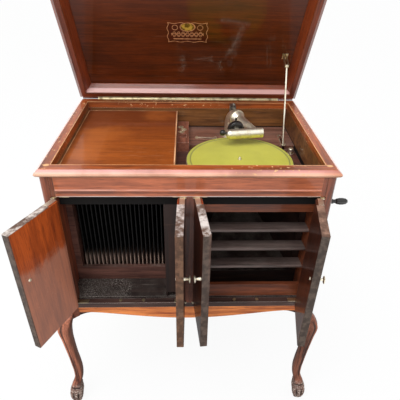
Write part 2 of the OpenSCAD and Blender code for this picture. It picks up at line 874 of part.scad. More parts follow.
module motor_plate(z) {
    difference() {
        translate([platter_x - 52, -platter_y - 52, z]) cube([barrel_x - platter_x + 114, 104, plate_t]);
        translate([platter_x, -platter_y, z - 1]) cylinder(r = spindle_r + run_gap, h = plate_t + 2);
        translate([barrel_x, -platter_y, z - 1]) cylinder(r = shaft_r + run_gap, h = plate_t + 2);
    }
}

module motor_frame() {
    color("dimgray") {
        motor_plate(motor_low);
        motor_plate(motor_top - plate_t);
        for (x = [platter_x - 46, barrel_x + 56])
            for (y = [-platter_y - 46, -platter_y + 46])
                translate([x, y, motor_low + plate_t]) cylinder(r = 4, h = motor_gap);
        for (x = [gov_x - 4, gov_x + gov_l - 5])
            difference() {
                translate([x, gov_y - 5, gov_z - 6]) cube([5, 10, motor_top - plate_t - gov_z + 6]);
                translate([x - 1, gov_y, gov_z]) rotate([0, 90, 0]) cylinder(r = gov_shaft_r + run_gap, h = 7);
            }
    }
}

// Governor, driven by the wheel on the spindle, with three weights on flat springs.
gov_y = -platter_y + 20 + 0.9 + 4.3;
gov_z = motor_low + plate_t + 27;
gov_x = platter_x - 42;
gov_l = 66;
gov_shaft_r = 2;
module governor() {
    color("goldenrod")
        translate([gov_x, gov_y, gov_z])
            rotate([0, 90, 0]) {
                union() {
                    cylinder(r = gov_shaft_r, h = gov_l);
                    translate([0, 0, 32]) cylinder(r = 4, h = 20);
                    translate([0, 0, 4]) cylinder(r = 9, h = 2);
                    for (z = [8, 25])
                        translate([0, 0, z]) cylinder(r = 8, h = 3);
                    for (a = [30, 150, 270])
                        rotate([0, 0, a]) {
                            translate([6.5, -1.5, 9]) cube([1, 3, 18]);
                            translate([9.2, 0, 15]) cylinder(r = 3, h = 6);
                        }
                }
            }
}

// Crank.
crank_x = cx + 6;
crank_pin_r = 3;
module crank() {
    x0 = barrel_x - 20;
    color("silver")
        union() {
            translate([x0, crank_y, crank_z]) rotate([0, 90, 0]) cylinder(r = shaft_r, h = crank_x + 5 - x0);
            translate([barrel_x - 12, crank_y, crank_z]) rotate([0, 90, 0]) cylinder(r = worm_r, h = 24);
            translate([crank_x, crank_y, crank_z])
                rotate([-crank_angle, 0, 0]) {
                    rotate([0, 90, 0]) cylinder(r = 8, h = 9);
                    hull() {
                        translate([2, 0, 0]) rotate([0, 90, 0]) cylinder(r = 6, h = 5, $fn = 32);
                        translate([2, -crank_l, 0]) rotate([0, 90, 0]) cylinder(r = 5, h = 5, $fn = 32);
                    }
                    translate([6, -crank_l, 0]) rotate([0, 90, 0]) cylinder(r = crank_pin_r, h = 44.5);
                }
        }
}

module crank_grip() {
    color("black")
        translate([crank_x + 9, 0, 0])
            translate([0, crank_y, crank_z])
                rotate([-crank_angle, 0, 0])
                    translate([0, -crank_l, 0])
                        rotate([0, 90, 0])
                            difference() {
                                rotate_extrude()
                                    polygon([[0, 0], [6.5, 0], [6.5, 6], [5.2, 8], [5.2, 12], [7.6, 16], [9.2, 24],
                                             [9.2, 32], [7.8, 40], [5, 44.5], [0, 46]]);
                                translate([0, 0, -1]) cylinder(r = crank_pin_r + run_gap, h = 43);
                            }
}

// Small metal plates: the crank's bush, the brake's plate, the speed dial and the stay's plate.
brake_y = well_y - shelf_d + 54;
module crank_bush() {
    translate([side_out, crank_y, crank_z])
        rotate([0, 90, 0])
            difference() {
                union() {
                    cylinder(r = 15, h = 1.5);
                    cylinder(r = 9, h = 4.5);
                }
                translate([0, 0, -1]) cylinder(r = shaft_r + run_gap, h = 10);
            }
}

module brake_plate() {
    translate([56, brake_y, shelf_z])
        difference() {
            union() {
                translate([-30, -3, 0]) cube([60, 6, 1.6]);
                for (s = [-1, 1]) translate([30 * s, 0, 0]) cylinder(r = 6, h = 1.6);
            }
            translate([-20, -1.5, -1]) cube([40, 3, 4]);
        }
}

module board_fittings() {
    color("silver") {
        crank_bush();
        brake_plate();
        speed_dial();
        stay_plate();
    }
}

module brake_lever() {
    color("silver")
        translate([26, brake_y, shelf_z + 1.6])
            union() {
                cylinder(r = 4, h = 3);
                rotate([0, 0, -8]) translate([0, -2.5, 0.4]) cube([62, 5, 1.6]);
                rotate([0, 0, -8]) translate([62, 0, 0.4]) cylinder(r = 4, h = 6);
            }
}

speed_x = well_x - 16.6;
speed_y = 44;
module speed_dial() {
    translate([speed_x, speed_y, board_z])
        union() {
            cylinder(r = 11, h = 1.5);
            cylinder(r = 3, h = 10.5);
        }
}

module speed_knob() {
    color("silver")
        translate([speed_x, speed_y, board_z + 6])
            difference() {
                union() {
                    cylinder(r = 8, h = 9);
                    translate([0, 0, 9]) cylinder(r1 = 8, r2 = 6.5, h = 2);
                }
                translate([0, 0, -1]) cylinder(r = 3 + run_gap, h = 6.2);
            }
}

// Tonearm: a base ring on the shelf, an elbow that turns in it, a tapered tube and a cross tube.
base_h = 6;
module arm_base() {
    color("silver")
        translate([arm_x, arm_y, shelf_z])
            rotate_extrude()
                polygon([[elbow_r + 0.06, 0], [36, 0], [36, 2], [33, 4], [30, base_h + 4], [elbow_r + 0.06, base_h + 4]]);
}

elbow_bend = elbow_r + 1;
arm_run = arm_l - elbow_bend;
arm_pitch = atan2(arm_fall, arm_run);
taper_l = 18;
// height of the collar between the bend and the taper
collar_up = 0.7;
module in_arm_frame() {
    translate([arm_x, arm_y, 0]) rotate([0, 0, arm_yaw]) children();
}

module tonearm() {
    z0 = shelf_z + 0.3;
    color("#c8bfa5")
        in_arm_frame()
            difference() {
                union() {
                    translate([0, 0, z0]) cylinder(r = elbow_r, h = arm_z - elbow_bend - z0);
                    translate([0, -elbow_bend, arm_z - elbow_bend])
                        rotate([90, 0, 90])
                            rotate_extrude(angle = 90) translate([elbow_bend, 0]) circle(elbow_r);
                    translate([0, -elbow_bend, arm_z]) {
                        translate([0, 1, 0]) rotate([90, 0, 0]) cylinder(r = elbow_r + collar_up, h = 4);
                        rotate([90 + arm_pitch, 0, 0]) {
                            cylinder(r1 = elbow_r - collar_up, r2 = 16, h = taper_l);
                            translate([0, 0, taper_l]) cylinder(r1 = 16, r2 = arm_end_r, h = arm_run - taper_l);
                        }
                    }
                    translate([0, -arm_l, cross_z])
                        rotate([0, 90, cross_skew]) {
                            translate([0, 0, seam_x]) cylinder(r = cross_r, h = 20 - seam_x);
                            translate([0, 0, 20]) cylinder(r1 = cross_r, r2 = cross_r - 2, h = 2);
                        }
                }
                translate([0, 0, z0 - 1]) cylinder(r = elbow_r - 3, h = arm_z - elbow_bend - z0 + 1);
            }
}

bracket_z = arm_z + 23;
module arm_bracket() {
    foot = shelf_z + base_h + 4;
    color("#1c1a18")
        translate([arm_x, arm_y, 0])
            union() {
                translate([-9, elbow_r + 2, foot]) cube([18, 6, bracket_z + 4 - foot]);
                translate([-9, 0, bracket_z]) cube([18, elbow_r + 8, 4]);
                translate([0, 0, bracket_z]) cylinder(r = 9, h = 4);
                translate([0, 0, bracket_z + 4])
                    rotate_extrude()
                        polygon([[0, 0], [6, 0], [6, 2], [3.2, 3.5], [3.4, 5], [4.6, 7.5], [4.2, 10],
                                 [2.4, 12], [0, 13]]);
            }
}

// Cross tube's turning half, with the sound box behind it.
module in_cross_frame() {
    in_arm_frame() translate([0, -arm_l, cross_z]) rotate([0, 0, cross_skew]) children();
}

neck_x = -55;
tube_end_x = -77.5;
seam_x = -20;
module in_box_frame() {
    in_cross_frame() rotate([box_tilt, 0, 0]) children();
}

module gooseneck() {
    color("#d8d0b8")
        in_box_frame()
            union() {
                translate([tube_end_x, 0, 0]) rotate([0, 90, 0]) cylinder(r = cross_r, h = seam_x - 0.3 - tube_end_x);
                translate([tube_end_x, 0, 0]) sphere(cross_r);
                translate([neck_x, 0, 0]) rotate([-90, 0, 0]) cylinder(r = 9, h = box_back);
            }
}

// Sound box: its body, the ring round it and the needle's bar across its face.
module sound_box() {
    ring_w = 3;
    color("#18181a")
        in_box_frame()
            translate([neck_x, box_back, 0]) {
                rotate([-90, 0, 0])
                    rotate_extrude($fn = 64)
                        polygon([[0, 0], [box_r - ring_w - 2, 0], [box_r - ring_w, 1.5], [box_r - ring_w, box_t], [0, box_t]]);
                rotate([-90, 0, 0])
                    rotate_extrude($fn = 64)
                        polygon([[box_r - ring_w + joint_gap, 1.5], [box_r - 1, 1.5], [box_r, 3], [box_r, box_t - 2],
                                 [box_r - 1.5, box_t], [box_r - ring_w + joint_gap, box_t]]);
                translate([0, box_t + joint_gap, 0])
                    union() {
                        translate([-2, 0, 0]) cube([4, 3, box_r + 3]);
                        rotate([-90, 0, 0]) cylinder(r = 4, h = 3);
                        translate([0, 1.5, box_r + 0.5]) cylinder(r = 3, h = 7);
                    }
            }
}

ball_r = 9;
ball_out = 25;
ball_up = 7;
module lift_knob() {
    color("black")
        in_box_frame()
            translate([tube_end_x, 0, 0])
                difference() {
                    union() {
                        translate([-ball_out, 0, ball_up]) sphere(ball_r);
                        rotate([0, -atan2(ball_out, ball_up), 0]) cylinder(r = 3.5, h = ball_out);
                    }
                    sphere(cross_r + 0.05);
                }
}

// Lid, drawn closed and turned about its hinge line.
lid_gap = 0.3;
lid_z = top_z + lid_gap;
axis_y = rim_y - hinge_in;
axis_z = top_z + lid_gap / 2;
module lid_turn() {
    translate([0, axis_y, axis_z]) rotate([-lid_open, 0, 0]) translate([0, -axis_y, -axis_z]) children();
}

lid_in = rim_w - lid_rail_w;
lid_x = well_x + lid_in;
lid_y = well_y + lid_in;
module lid_profile() {
    // from the lid's inner edge out, mirrored rim nose below and a rounded top
    difference() {
        polygon([[lid_in, 0], [rim_w - rim_slope, 0], [rim_w - 1.5, rim_h - rim_nose - 4], [rim_w, rim_h - rim_nose],
                 [rim_w - 2, rim_h - 4], [rim_w - 6, rim_h - 2], [rim_w - 7, lid_h - 14], [rim_w - 10, lid_h - 7],
                 [rim_w - 16, lid_h - 1.5], [rim_w - 20, lid_h], [lid_in, lid_h]]);
        translate([rim_w - 0.5, rim_h - 2]) circle(2.6);
    }
}

module lid_rail(len) {
    difference() {
        translate([-len / 2, 0, 0])
            rotate([90, 0, 90])
                mirror([1, 0, 0])
                    linear_extrude(len)
                        lid_profile();
        for (s = [-1, 1])
            translate([s * (len / 2 - rim_w - joint_gap), 0, -1])
                rotate([0, 0, s > 0 ? -45 : 225])
                    translate([0, s > 0 ? 0 : -mitre_cut, 0])
                        cube([mitre_cut, mitre_cut, lid_h + 2]);
    }
}

module lid_rails() {
    color("brown")
        lid_turn() {
            translate([0, -well_y, lid_z]) lid_rail(2 * rim_x);
            translate([0, well_y, lid_z]) rotate([0, 0, 180]) lid_rail(2 * rim_x);
            for (s = [-1, 1])
                translate([s * well_x, 0, lid_z]) rotate([0, 0, 90 * s]) lid_rail(2 * rim_y);
        }
}

mitre_cut = 200;
module cove_rail(len) {
    difference() {
        translate([-len / 2, 0, 0])
            rotate([90, 0, 90])
                linear_extrude(len)
                    difference() {
                        polygon([[0, lid_h - lid_panel_t - cove_d], [1.5, lid_h - lid_panel_t - cove_d],
                                 [cove_w, lid_h - lid_panel_t - 2], [cove_w, lid_h - lid_panel_t], [0, lid_h - lid_panel_t]]);
                        translate([cove_w, lid_h - lid_panel_t - cove_d]) circle(cove_w - 3, $fn = 64);
                    }
        for (s = [-1, 1])
            translate([s * (len / 2 - joint_gap), 0, -1])
                rotate([0, 0, -45 * s])
                    translate([-mitre_cut, 0, 0])
                        cube([2 * mitre_cut, mitre_cut, lid_h + 2]);
    }
}

module lid_cove() {
    color("chocolate")
        lid_turn() {
            translate([0, -lid_y, lid_z]) cove_rail(2 * lid_x);
            translate([0, lid_y, lid_z]) rotate([0, 0, 180]) cove_rail(2 * lid_x);
            for (s = [-1, 1])
                translate([s * lid_x, 0, lid_z]) rotate([0, 0, 90 * s]) cove_rail(2 * lid_y);
        }
}

module lid_panel() {
    color("#4b2316")
        lid_turn()
            translate([-lid_x, -lid_y, lid_z + lid_h - lid_panel_t])
                cube([2 * lid_x, 2 * lid_y, lid_panel_t]);
}

// Long hinge in the groove behind the rim and the lid: a leaf on each slope, and knuckles in turn.
knuckles = 14;
knuckle_l = piano_l / (2 * knuckles);
plate_leaf_t = 1;
leaf_set = 1.5;
slope_run = rim_slope - 1.5;
slope_drop = rim_h - rim_nose - 4;
slope_l = sqrt(slope_run * slope_run + slope_drop * slope_drop);
slope_angle = atan2(slope_drop, slope_run);
slope_dist = (rim_slope - hinge_in) * sin(slope_angle) + lid_gap / 2 * cos(slope_angle);
knuckle_r = slope_dist - plate_leaf_t - 0.3;
module hinge_leaf(odd, bore) {
    difference() {
        union() {
            translate([-piano_l / 2, rim_y - rim_slope, top_z])
                rotate([-slope_angle, 0, 0])
                    translate([0, leaf_set, 0]) cube([piano_l, slope_l - leaf_set - 0.5, plate_leaf_t]);
            for (i = [0:knuckles - 1])
                translate([-piano_l / 2 + (2 * i + odd) * knuckle_l + 0.15, axis_y, axis_z]) {
                    rotate([0, 90, 0]) cylinder(r = knuckle_r, h = knuckle_l - 0.3, $fn = 24);
                    rotate([-slope_angle, 0, 0])
                        translate([0, -1, -slope_dist + 0.5]) cube([knuckle_l - 0.3, 2, 3]);
                }
        }
        translate([-piano_l / 2 - 1, axis_y, axis_z])
            rotate([0, 90, 0]) cylinder(r = bore, h = piano_l + 2, $fn = 24);
    }
}

module case_hinge_leaf() {
    color("goldenrod")
        union() {
            hinge_leaf(0, lid_pin_r - 0.2);
            translate([-piano_l / 2, axis_y, axis_z])
                rotate([0, 90, 0]) cylinder(r = lid_pin_r, h = piano_l, $fn = 24);
        }
}

module lid_hinge_leaf() {
    color("goldenrod")
        lid_turn()
            translate([0, 0, 2 * axis_z]) mirror([0, 0, 1]) hinge_leaf(1, lid_pin_r + run_gap);
}

// Lid stay: a rod that hangs from the lid and runs through a slotted plate on the shelf.
stay_y = 161.6;
stay_drop = 11.7;
stay_lean = 20.8;
stay_l = 243;
rod_r = 2.5;
stay_eye_r = 5;
stay_pin_r = 1.8;
module stay_frame() {
    // the rod's pivot in the open lid, turned so that the rod runs along -Z
    lid_turn() translate([stay_x, axis_y - stay_y, axis_z - stay_drop]) children();
}

module stay_bracket() {
    top = stay_drop + lid_h - lid_panel_t + lid_gap / 2;
    color("silver")
        stay_frame()
            union() {
                for (s = [-1, 1])
                    translate([s * 4.5 - 1, 0, 0]) {
                        translate([0, -6, 0]) cube([2, 12, top]);
                        rotate([0, 90, 0]) cylinder(r = 6, h = 2);
                    }
                translate([-9, -10, top - 1.5]) cube([18, 20, 1.5]);
                translate([-5.5, 0, 0]) rotate([0, 90, 0]) cylinder(r = stay_pin_r, h = 11);
            }
}

module stay_rod() {
    color("silver")
        stay_frame()
            rotate([lid_open - stay_lean, 0, 0])
                difference() {
                    union() {
                        translate([-2.5, 0, 0]) rotate([0, 90, 0]) cylinder(r = stay_eye_r, h = 5);
                        translate([0, 0, -stay_l]) cylinder(r = rod_r, h = stay_l - 2);
                    }
                    translate([-4, 0, 0]) rotate([0, 90, 0]) cylinder(r = stay_pin_r + run_gap, h = 8);
                }
}

module stay_plate() {
        difference() {
            union() {
                translate([stay_x - 8, stay_slot_y[0] + 4, shelf_z])
                    cube([16, stay_slot_y[1] - stay_slot_y[0] - 8, 1.6]);
                for (y = [stay_slot_y[0] + 4, stay_slot_y[1] - 4])
                    translate([stay_x, y, shelf_z]) cylinder(r = 8, h = 1.6);
            }
            stay_slot(shelf_z - 1, 4, 0);
        }
}

// Doors, drawn closed and turned about their pivots at the opening's outer corners.
door_h = opening_h - 2 * door_end_gap;
door_w = (2 * (post_x - stile_x) / 2 - 2 * door_gap) / 2 - door_gap / 2;
door_side = [-1, -1, 1, 1];
door_from = [-post_x - pin_out, -stile_x, stile_x, post_x + pin_out];
door_start = [pin_out, 0, 0, pin_out];
door_dir = [1, -1, 1, -1];
door_angle = [-door_open_1, door_open_2, -door_open_3, door_open_4];
// children are drawn with the pivot at the origin, the door along +X and its outer face on y = 0
module door_frame(n) {
    translate([door_from[n - 1], front_y, 0])
        rotate([0, 0, door_angle[n - 1]])
            mirror([door_dir[n - 1] < 0 ? 1 : 0, 0, 0])
                children();
}

eye_wall = 2;
eye_r = hinge_pin_r + eye_wall;
outer_notch_r = norm([pin_out + door_gap, eye_r]) + 0.4;
leaf_lift = 0.1;
leaf_pocket = 2 * leaf_t + leaf_lift - door_end_gap;
module door(n) {
    z0 = ledge_z + door_end_gap;
    color("#96492a")
        door_frame(n)
            translate([door_start[n - 1], 0, 0]) difference() {
                translate([0, 0, z0])
                    linear_extrude(door_h)
                        union() {
                            translate([door_gap, 0]) square([door_w - 2, door_t - door_round]);
                            translate([door_gap + door_round, 0]) square([door_w - 2 - door_round, door_t]);
                            translate([door_gap + door_round, door_t - door_round]) circle(door_round);
                            translate([door_gap, 2]) square([door_w, door_t - 4]);
                            for (y = [2, door_t - 2]) translate([door_gap + door_w - 2, y]) circle(2);
                        }
                translate([-1, -1, z0 - 1]) cube([leaf_l + 1.2, door_t + 2, 1 + leaf_pocket]);
                translate([-1, -1, z0 + door_h - leaf_pocket]) cube([leaf_l + 1.2, door_t + 2, 1 + leaf_pocket]);
                translate([door_w - knob_in, -1, knob_z]) rotate([-90, 0, 0]) cylinder(r = 2, h = door_t + 2);
            }
}

module door_1() { door(1); }
module door_2() { door(2); }
module door_3() { door(3); }
module door_4() { door(4); }

module knob_and_screw() {
    rotate([90, 0, 0])
        rotate_extrude()
            polygon([[0, 0], [5, 0], [4.2, 3], [3.2, 8], [3.4, knob_out - 5], [knob_d / 2 - 1.5, knob_out - 3.5],
                     [knob_d / 2, knob_out - 2.4], [knob_d / 2 - 0.6, knob_out - 1],
                     [knob_d / 2 - 3, knob_out], [0, knob_out]]);
    rotate([-90, 0, 0]) cylinder(r = 1.95, h = door_t + 0.5);
    translate([0, door_t, 0]) rotate([-90, 0, 0]) cylinder(r1 = 4.5, r2 = 3.2, h = 1.6);
}

// Pivot hinges: a leaf in each door end turns on a pin of the leaf on the case.
module hinge_notches(r, low) {
    // room in the post or the stile for the door leaf's eye, at both ends of the door
    room = 2 * (leaf_t + leaf_lift);
    for (z = [ledge_z + low, ledge_z + opening_h - room])
        translate([0, 0, z]) cylinder(r = r, h = room - low);
}

module leaf_eye(reach) {
    // the round end of a leaf and the neck that joins it to the plate
    circle(eye_r);
    translate([0, -eye_r]) square([reach + 1, 2 * eye_r]);
}

leaf_w = door_t - 6;
module door_leaf(start) {
    linear_extrude(leaf_t)
        difference() {
            union() {
                translate([start + door_gap, 0.5]) square([leaf_l - door_gap, leaf_w]);
                leaf_eye(start > 0 ? start + door_gap : 0);
            }
            circle(hinge_pin_r + run_gap);
        }
}

// A door's knob with its screw, and its two hinge leaves.
module door_fittings(n) {
    color("#cdbf95")
        door_frame(n) {
            translate([door_start[n - 1] + door_w - knob_in, 0, knob_z]) union() knob_and_screw();
            for (z = [ledge_z + leaf_t + leaf_lift, ledge_z + opening_h - 2 * leaf_t - leaf_lift])
                translate([0, 0, z]) door_leaf(door_start[n - 1]);
        }
}

module door_1_fittings() { door_fittings(1); }
module door_2_fittings() { door_fittings(2); }
module door_3_fittings() { door_fittings(3); }
module door_4_fittings() { door_fittings(4); }

module case_leaf(up, start) {
    // leaf with its pin; on the stile, which has no room for its eye, the eye is cut away
    z = up ? opening_h - leaf_t : 0;
    clear = 0.05;
    far = 2 * eye_r;
    translate([0, 0, z])
        linear_extrude(leaf_t)
            union() {
                translate([start + clear, 0.5]) square([leaf_l, leaf_w]);
                if (start > 0)
                    leaf_eye(start);
                else
                    intersection() {
                        leaf_eye(0);
                        union() {
                            translate([clear, -far]) square([far, 2 * far]);
                            translate([-far, -far - clear]) square([2 * far, far]);
                        }
                    }
            }
    translate([0, 0, up ? z - leaf_t - leaf_lift : z + leaf_t]) cylinder(r = hinge_pin_r, h = leaf_t + leaf_lift);
}

catch_out = 34;
module door_plates() {
    middle = (post_x + stile_x) / 2;
    color("#b39a5a") {
        for (n = [0:3])
            for (up = [false, true])
                translate([door_from[n], front_y, ledge_z])
                    mirror([door_dir[n] < 0 ? 1 : 0, 0, 0])
                        union() case_leaf(up, door_start[n]);
        for (s = [-1, 1])
            for (q = [-1, 1])
                translate([s * middle + q * catch_out, front_y + 11, ledge_z]) cylinder(r = 5, h = 0.8);
    }
}

// The case is drawn about its own middle. The origin of the finished object is on the floor under the middle
// of its box as it stands open, so everything is moved by these.
middle_x = 4.99;
middle_y = -60.1;
translate([-middle_x, -middle_y, 0]) {
    corner_posts();
    legs();
    knee_blocks();
    side_panels();
    back_panel();
    front_frieze();
    front_apron();
    bottom_rail();
    centre_stile();
    floor_board();
    partition();
    filler_board();
    well_linings();
    rim_moulding();
    motor_board();
    rear_shelf();
    cover_supports();
    cover_panel();
    cup_block();
    needle_cups();
    rack_frame();
    record_dividers();
    louvre_frame();
    louvre_slats();
    horn_boards();
    horn_elbow();
    door_plates();
    case_hinge_leaf();
    board_fittings();
    arm_base();
    arm_bracket();
    motor_frame();
    lid_rails();
    lid_cove();
    lid_panel();
    lid_hinge_leaf();
    stay_bracket();
    stay_rod();
    door_1();
    door_2();
    door_3();
    door_4();
    door_1_fittings();
    door_2_fittings();
    door_3_fittings();
    door_4_fittings();
    platter();
    felt();
    spindle();
    spring_barrel();
    winding_arbor();
    governor();
    crank();
    crank_grip();
    tonearm();
    gooseneck();
    lift_knob();
    sound_box();
    speed_knob();
    brake_lever();
}
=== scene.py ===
# %% [markdown]
# # A gramophone cabinet, dressed in Blender
#
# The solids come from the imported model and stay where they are. This lesson gives them their finishes, adds
# the pieces that a solid modeller leaves plain, and places the camera and the lights. Everything is in
# metres, with X to the right seen from the front, the front towards -Y, and Z up.

# %% Load the frame
import math
import bpy
import numpy as np
from mathutils import Matrix, Vector


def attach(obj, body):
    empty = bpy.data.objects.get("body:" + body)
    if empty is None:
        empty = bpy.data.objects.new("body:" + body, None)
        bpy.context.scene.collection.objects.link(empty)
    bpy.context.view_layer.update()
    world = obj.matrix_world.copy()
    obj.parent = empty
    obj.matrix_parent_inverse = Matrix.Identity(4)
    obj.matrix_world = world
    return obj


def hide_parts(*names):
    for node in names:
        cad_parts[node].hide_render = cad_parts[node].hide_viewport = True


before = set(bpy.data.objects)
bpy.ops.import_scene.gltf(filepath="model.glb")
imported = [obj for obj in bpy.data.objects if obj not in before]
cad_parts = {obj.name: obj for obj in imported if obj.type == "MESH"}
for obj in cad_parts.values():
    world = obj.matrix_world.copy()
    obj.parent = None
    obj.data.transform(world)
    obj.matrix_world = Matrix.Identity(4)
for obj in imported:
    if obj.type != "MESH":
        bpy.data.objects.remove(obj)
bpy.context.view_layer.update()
MIDDLE = Vector((-0.00499, 0.0601, 0))

# %% [markdown]
# ## Camera
# The photograph was taken about 0.85 m in front of the case and as high as the open lid's top, looking down.
# The case's straight edges, at the scale of a 12 inch turntable, give the place, the pitch, the turn and the
# roll. The lens covers 52 degrees. A small shift puts the frame's middle where the photograph was cropped.

# %% The camera
CAMERA_AT = Vector((-0.009795, -1.106078, 1.356355))
PITCH, TURN, ROLL = (math.radians(a) for a in (32.541, 2.3675, 1.2826))
LENS_MM, SENSOR_MM = 36.63, 36.0
PHOTO_SHIFT = -0.00597


def add_object(name, data):
    """A new object in the scene, at the origin."""
    made = bpy.data.objects.new(name, data)
    bpy.context.scene.collection.objects.link(made)
    return made


ahead = Vector((math.sin(TURN) * math.cos(PITCH), math.cos(TURN) * math.cos(PITCH), -math.sin(PITCH)))
level_right = Vector((math.cos(TURN), -math.sin(TURN), 0))
level_up = level_right.cross(ahead)
right = math.cos(ROLL) * level_right + math.sin(ROLL) * level_up
up = -math.sin(ROLL) * level_right + math.cos(ROLL) * level_up
camera = add_object("camera", bpy.data.cameras.new("camera"))
camera.data.sensor_width = SENSOR_MM
camera.data.lens = LENS_MM
camera.data.shift_y = PHOTO_SHIFT
camera.data.clip_end = 100.0
turned = Matrix((right, up, -ahead)).transposed().to_4x4()
camera.matrix_world = Matrix.Translation(CAMERA_AT + MIDDLE) @ turned
bpy.context.scene.camera = camera
print("camera looks along", [round(c, 3) for c in ahead])

# %% [markdown]
# ## Values that can be reckoned with
# A material is a web of nodes, and most of its nodes are arithmetic. The class below wraps a node's output,
# so that a formula is written as a formula: a + b, a * b or 1 - a each add one Math node and wrap its
# output. Two shapes are used everywhere: a step rises smoothly from 0 to 1 between two limits, and a fall
# is one less a step.


# %% Values
class Value:
    """What a node's output holds at each point of a surface."""

    def __init__(self, socket):
        self.socket, self.tree = socket, socket.id_data

    def __add__(self, other):
        return calc("ADD", self, other)

    def __radd__(self, other):
        return calc("ADD", other, self)

    def __sub__(self, other):
        return calc("SUBTRACT", self, other)

    def __rsub__(self, other):
        return calc("SUBTRACT", other, self)

    def __mul__(self, other):
        return calc("MULTIPLY", self, other)

    def __truediv__(self, other):
        return calc("DIVIDE", self, other)

    def __abs__(self):
        return calc("ABSOLUTE", self)

    def __gt__(self, other):
        return calc("GREATER_THAN", self, other)

    def __lt__(self, other):
        return calc("LESS_THAN", self, other)

    def clamped(self):
        """The same sum or product, kept between 0 and 1."""
        self.socket.node.use_clamp = True
        return self

    def step(self, low, high):
        """0 under low, 1 over high, smooth between."""
        return get(self.tree, "MapRange", {"Value": self, "From Min": low, "From Max": high}, "Result",
                   interpolation_type="SMOOTHSTEP")

    def fall(self, low, high):
        """1 under low, 0 over high, smooth between."""
        return 1.0 - self.step(low, high)


# %% Nodes and their sockets
def fill(node, sockets):
    """Links each named or numbered socket to a Value, or writes a constant into it."""
    for key, value in sockets.items():
        if isinstance(value, Value):
            node.id_data.links.new(value.socket, node.inputs[key])
        else:
            node.inputs[key].default_value = value


def put(tree, kind, sockets=None, **settings):
    """Adds a shader node, sets it up and fills its sockets."""
    node = tree.nodes.new("ShaderNode" + kind)
    for key, value in settings.items():
        setattr(node, key, value)
    fill(node, sockets or {})
    return node


def get(tree, kind, sockets=None, output=0, **settings):
    """Adds a node as put does, and returns one of its outputs."""
    return Value(put(tree, kind, sockets, **settings).outputs[output])


def tree_of(*values):
    """The node tree that the first Value among the values lies in."""
    return next(value.tree for value in values if isinstance(value, Value))


def calc(operation, *values):
    """One step of arithmetic on Values and numbers."""
    return get(tree_of(*values), "Math", dict(enumerate(values)), operation=operation)


def most(first, *others):
    """The greatest of some Values."""
    for other in others:
        first = calc("MAXIMUM", first, other)
    return first


# %% Colours, vectors and noise
def rgb(red, green, blue):
    """A colour read from 0 to 255, as the linear values that Blender's sockets take."""
    shares = [c / 255 for c in (red, green, blue)]
    return (*(((c + 0.055) / 1.055) ** 2.4 if c > 0.04 else c / 12.92 for c in shares), 1.0)


def mixed(share, first, second, mode="MIX"):
    """A colour between first and second."""
    return get(tree_of(share, first, second), "Mix", {0: share, 6: first, 7: second}, 2,
               data_type="RGBA", blend_type=mode)


def xyz(vector):
    """The three parts of a vector."""
    return [Value(socket) for socket in put(vector.tree, "SeparateXYZ", {"Vector": vector}).outputs]


def vector_math(operation, first, second, output=0):
    """One step of arithmetic on vectors."""
    return get(first.tree, "VectorMath", {0: first, 1: second}, output, operation=operation)


def object_place(tree):
    """Object coordinates."""
    return get(tree, "TexCoord", output="Object")


def noise(place, scale, detail, rough=0.5, warp=0.0):
    """Noise at a place. Its grains are about 1 / scale metres wide, and detail adds finer ones."""
    return get(place.tree, "TexNoise", {"Vector": place, "Scale": scale, "Detail": detail, "Roughness": rough,
                                        "Distortion": warp}, "Fac")


# %% Groups and materials
def new_group(name, inputs, outputs):
    """An empty node group: the Values that it is given, and the node that takes what it sends."""
    group = bpy.data.node_groups.new(name, "ShaderNodeTree")
    for label, kind, value in inputs:
        socket = group.interface.new_socket(label, in_out="INPUT", socket_type="NodeSocket" + kind)
        if value is not None:
            socket.default_value = value
    for label, kind in outputs:
        group.interface.new_socket(label, in_out="OUTPUT", socket_type="NodeSocket" + kind)
    given, sent = group.nodes.new("NodeGroupInput"), group.nodes.new("NodeGroupOutput")
    return {socket.name: Value(socket) for socket in given.outputs if socket.name}, sent


def use(tree, group, sockets):
    """Places a node group in a material. Returns its outputs by name."""
    node = put(tree, "Group", sockets, node_tree=group)
    return {socket.name: Value(socket) for socket in node.outputs}


def new_material(name):
    """A material, its node tree and its Principled shader."""
    material = bpy.data.materials.new(name)
    material.use_nodes = True
    return material, material.node_tree, material.node_tree.nodes["Principled BSDF"]


def raised(height, strength, distance, radius=None, samples=6):
    """The normal of a surface with bumps of some height, and edges that look rounded to a radius."""
    sockets = {"Strength": strength, "Distance": distance, "Height": height}
    if radius:
        sockets["Normal"] = get(height.tree, "Bevel", {"Radius": radius}, samples=samples)
    return get(height.tree, "Bump", sockets)


# %% [markdown]
# ## Mahogany
# The case is mahogany under an old glossy varnish. Looked at closely it has three things at three scales:
# short dark pores that run with the grain, long fibres a millimetre or two wide, and broad ribbons where
# the fibres lean to and fro. Each is a noise that is stretched along the grain. One group makes all three.


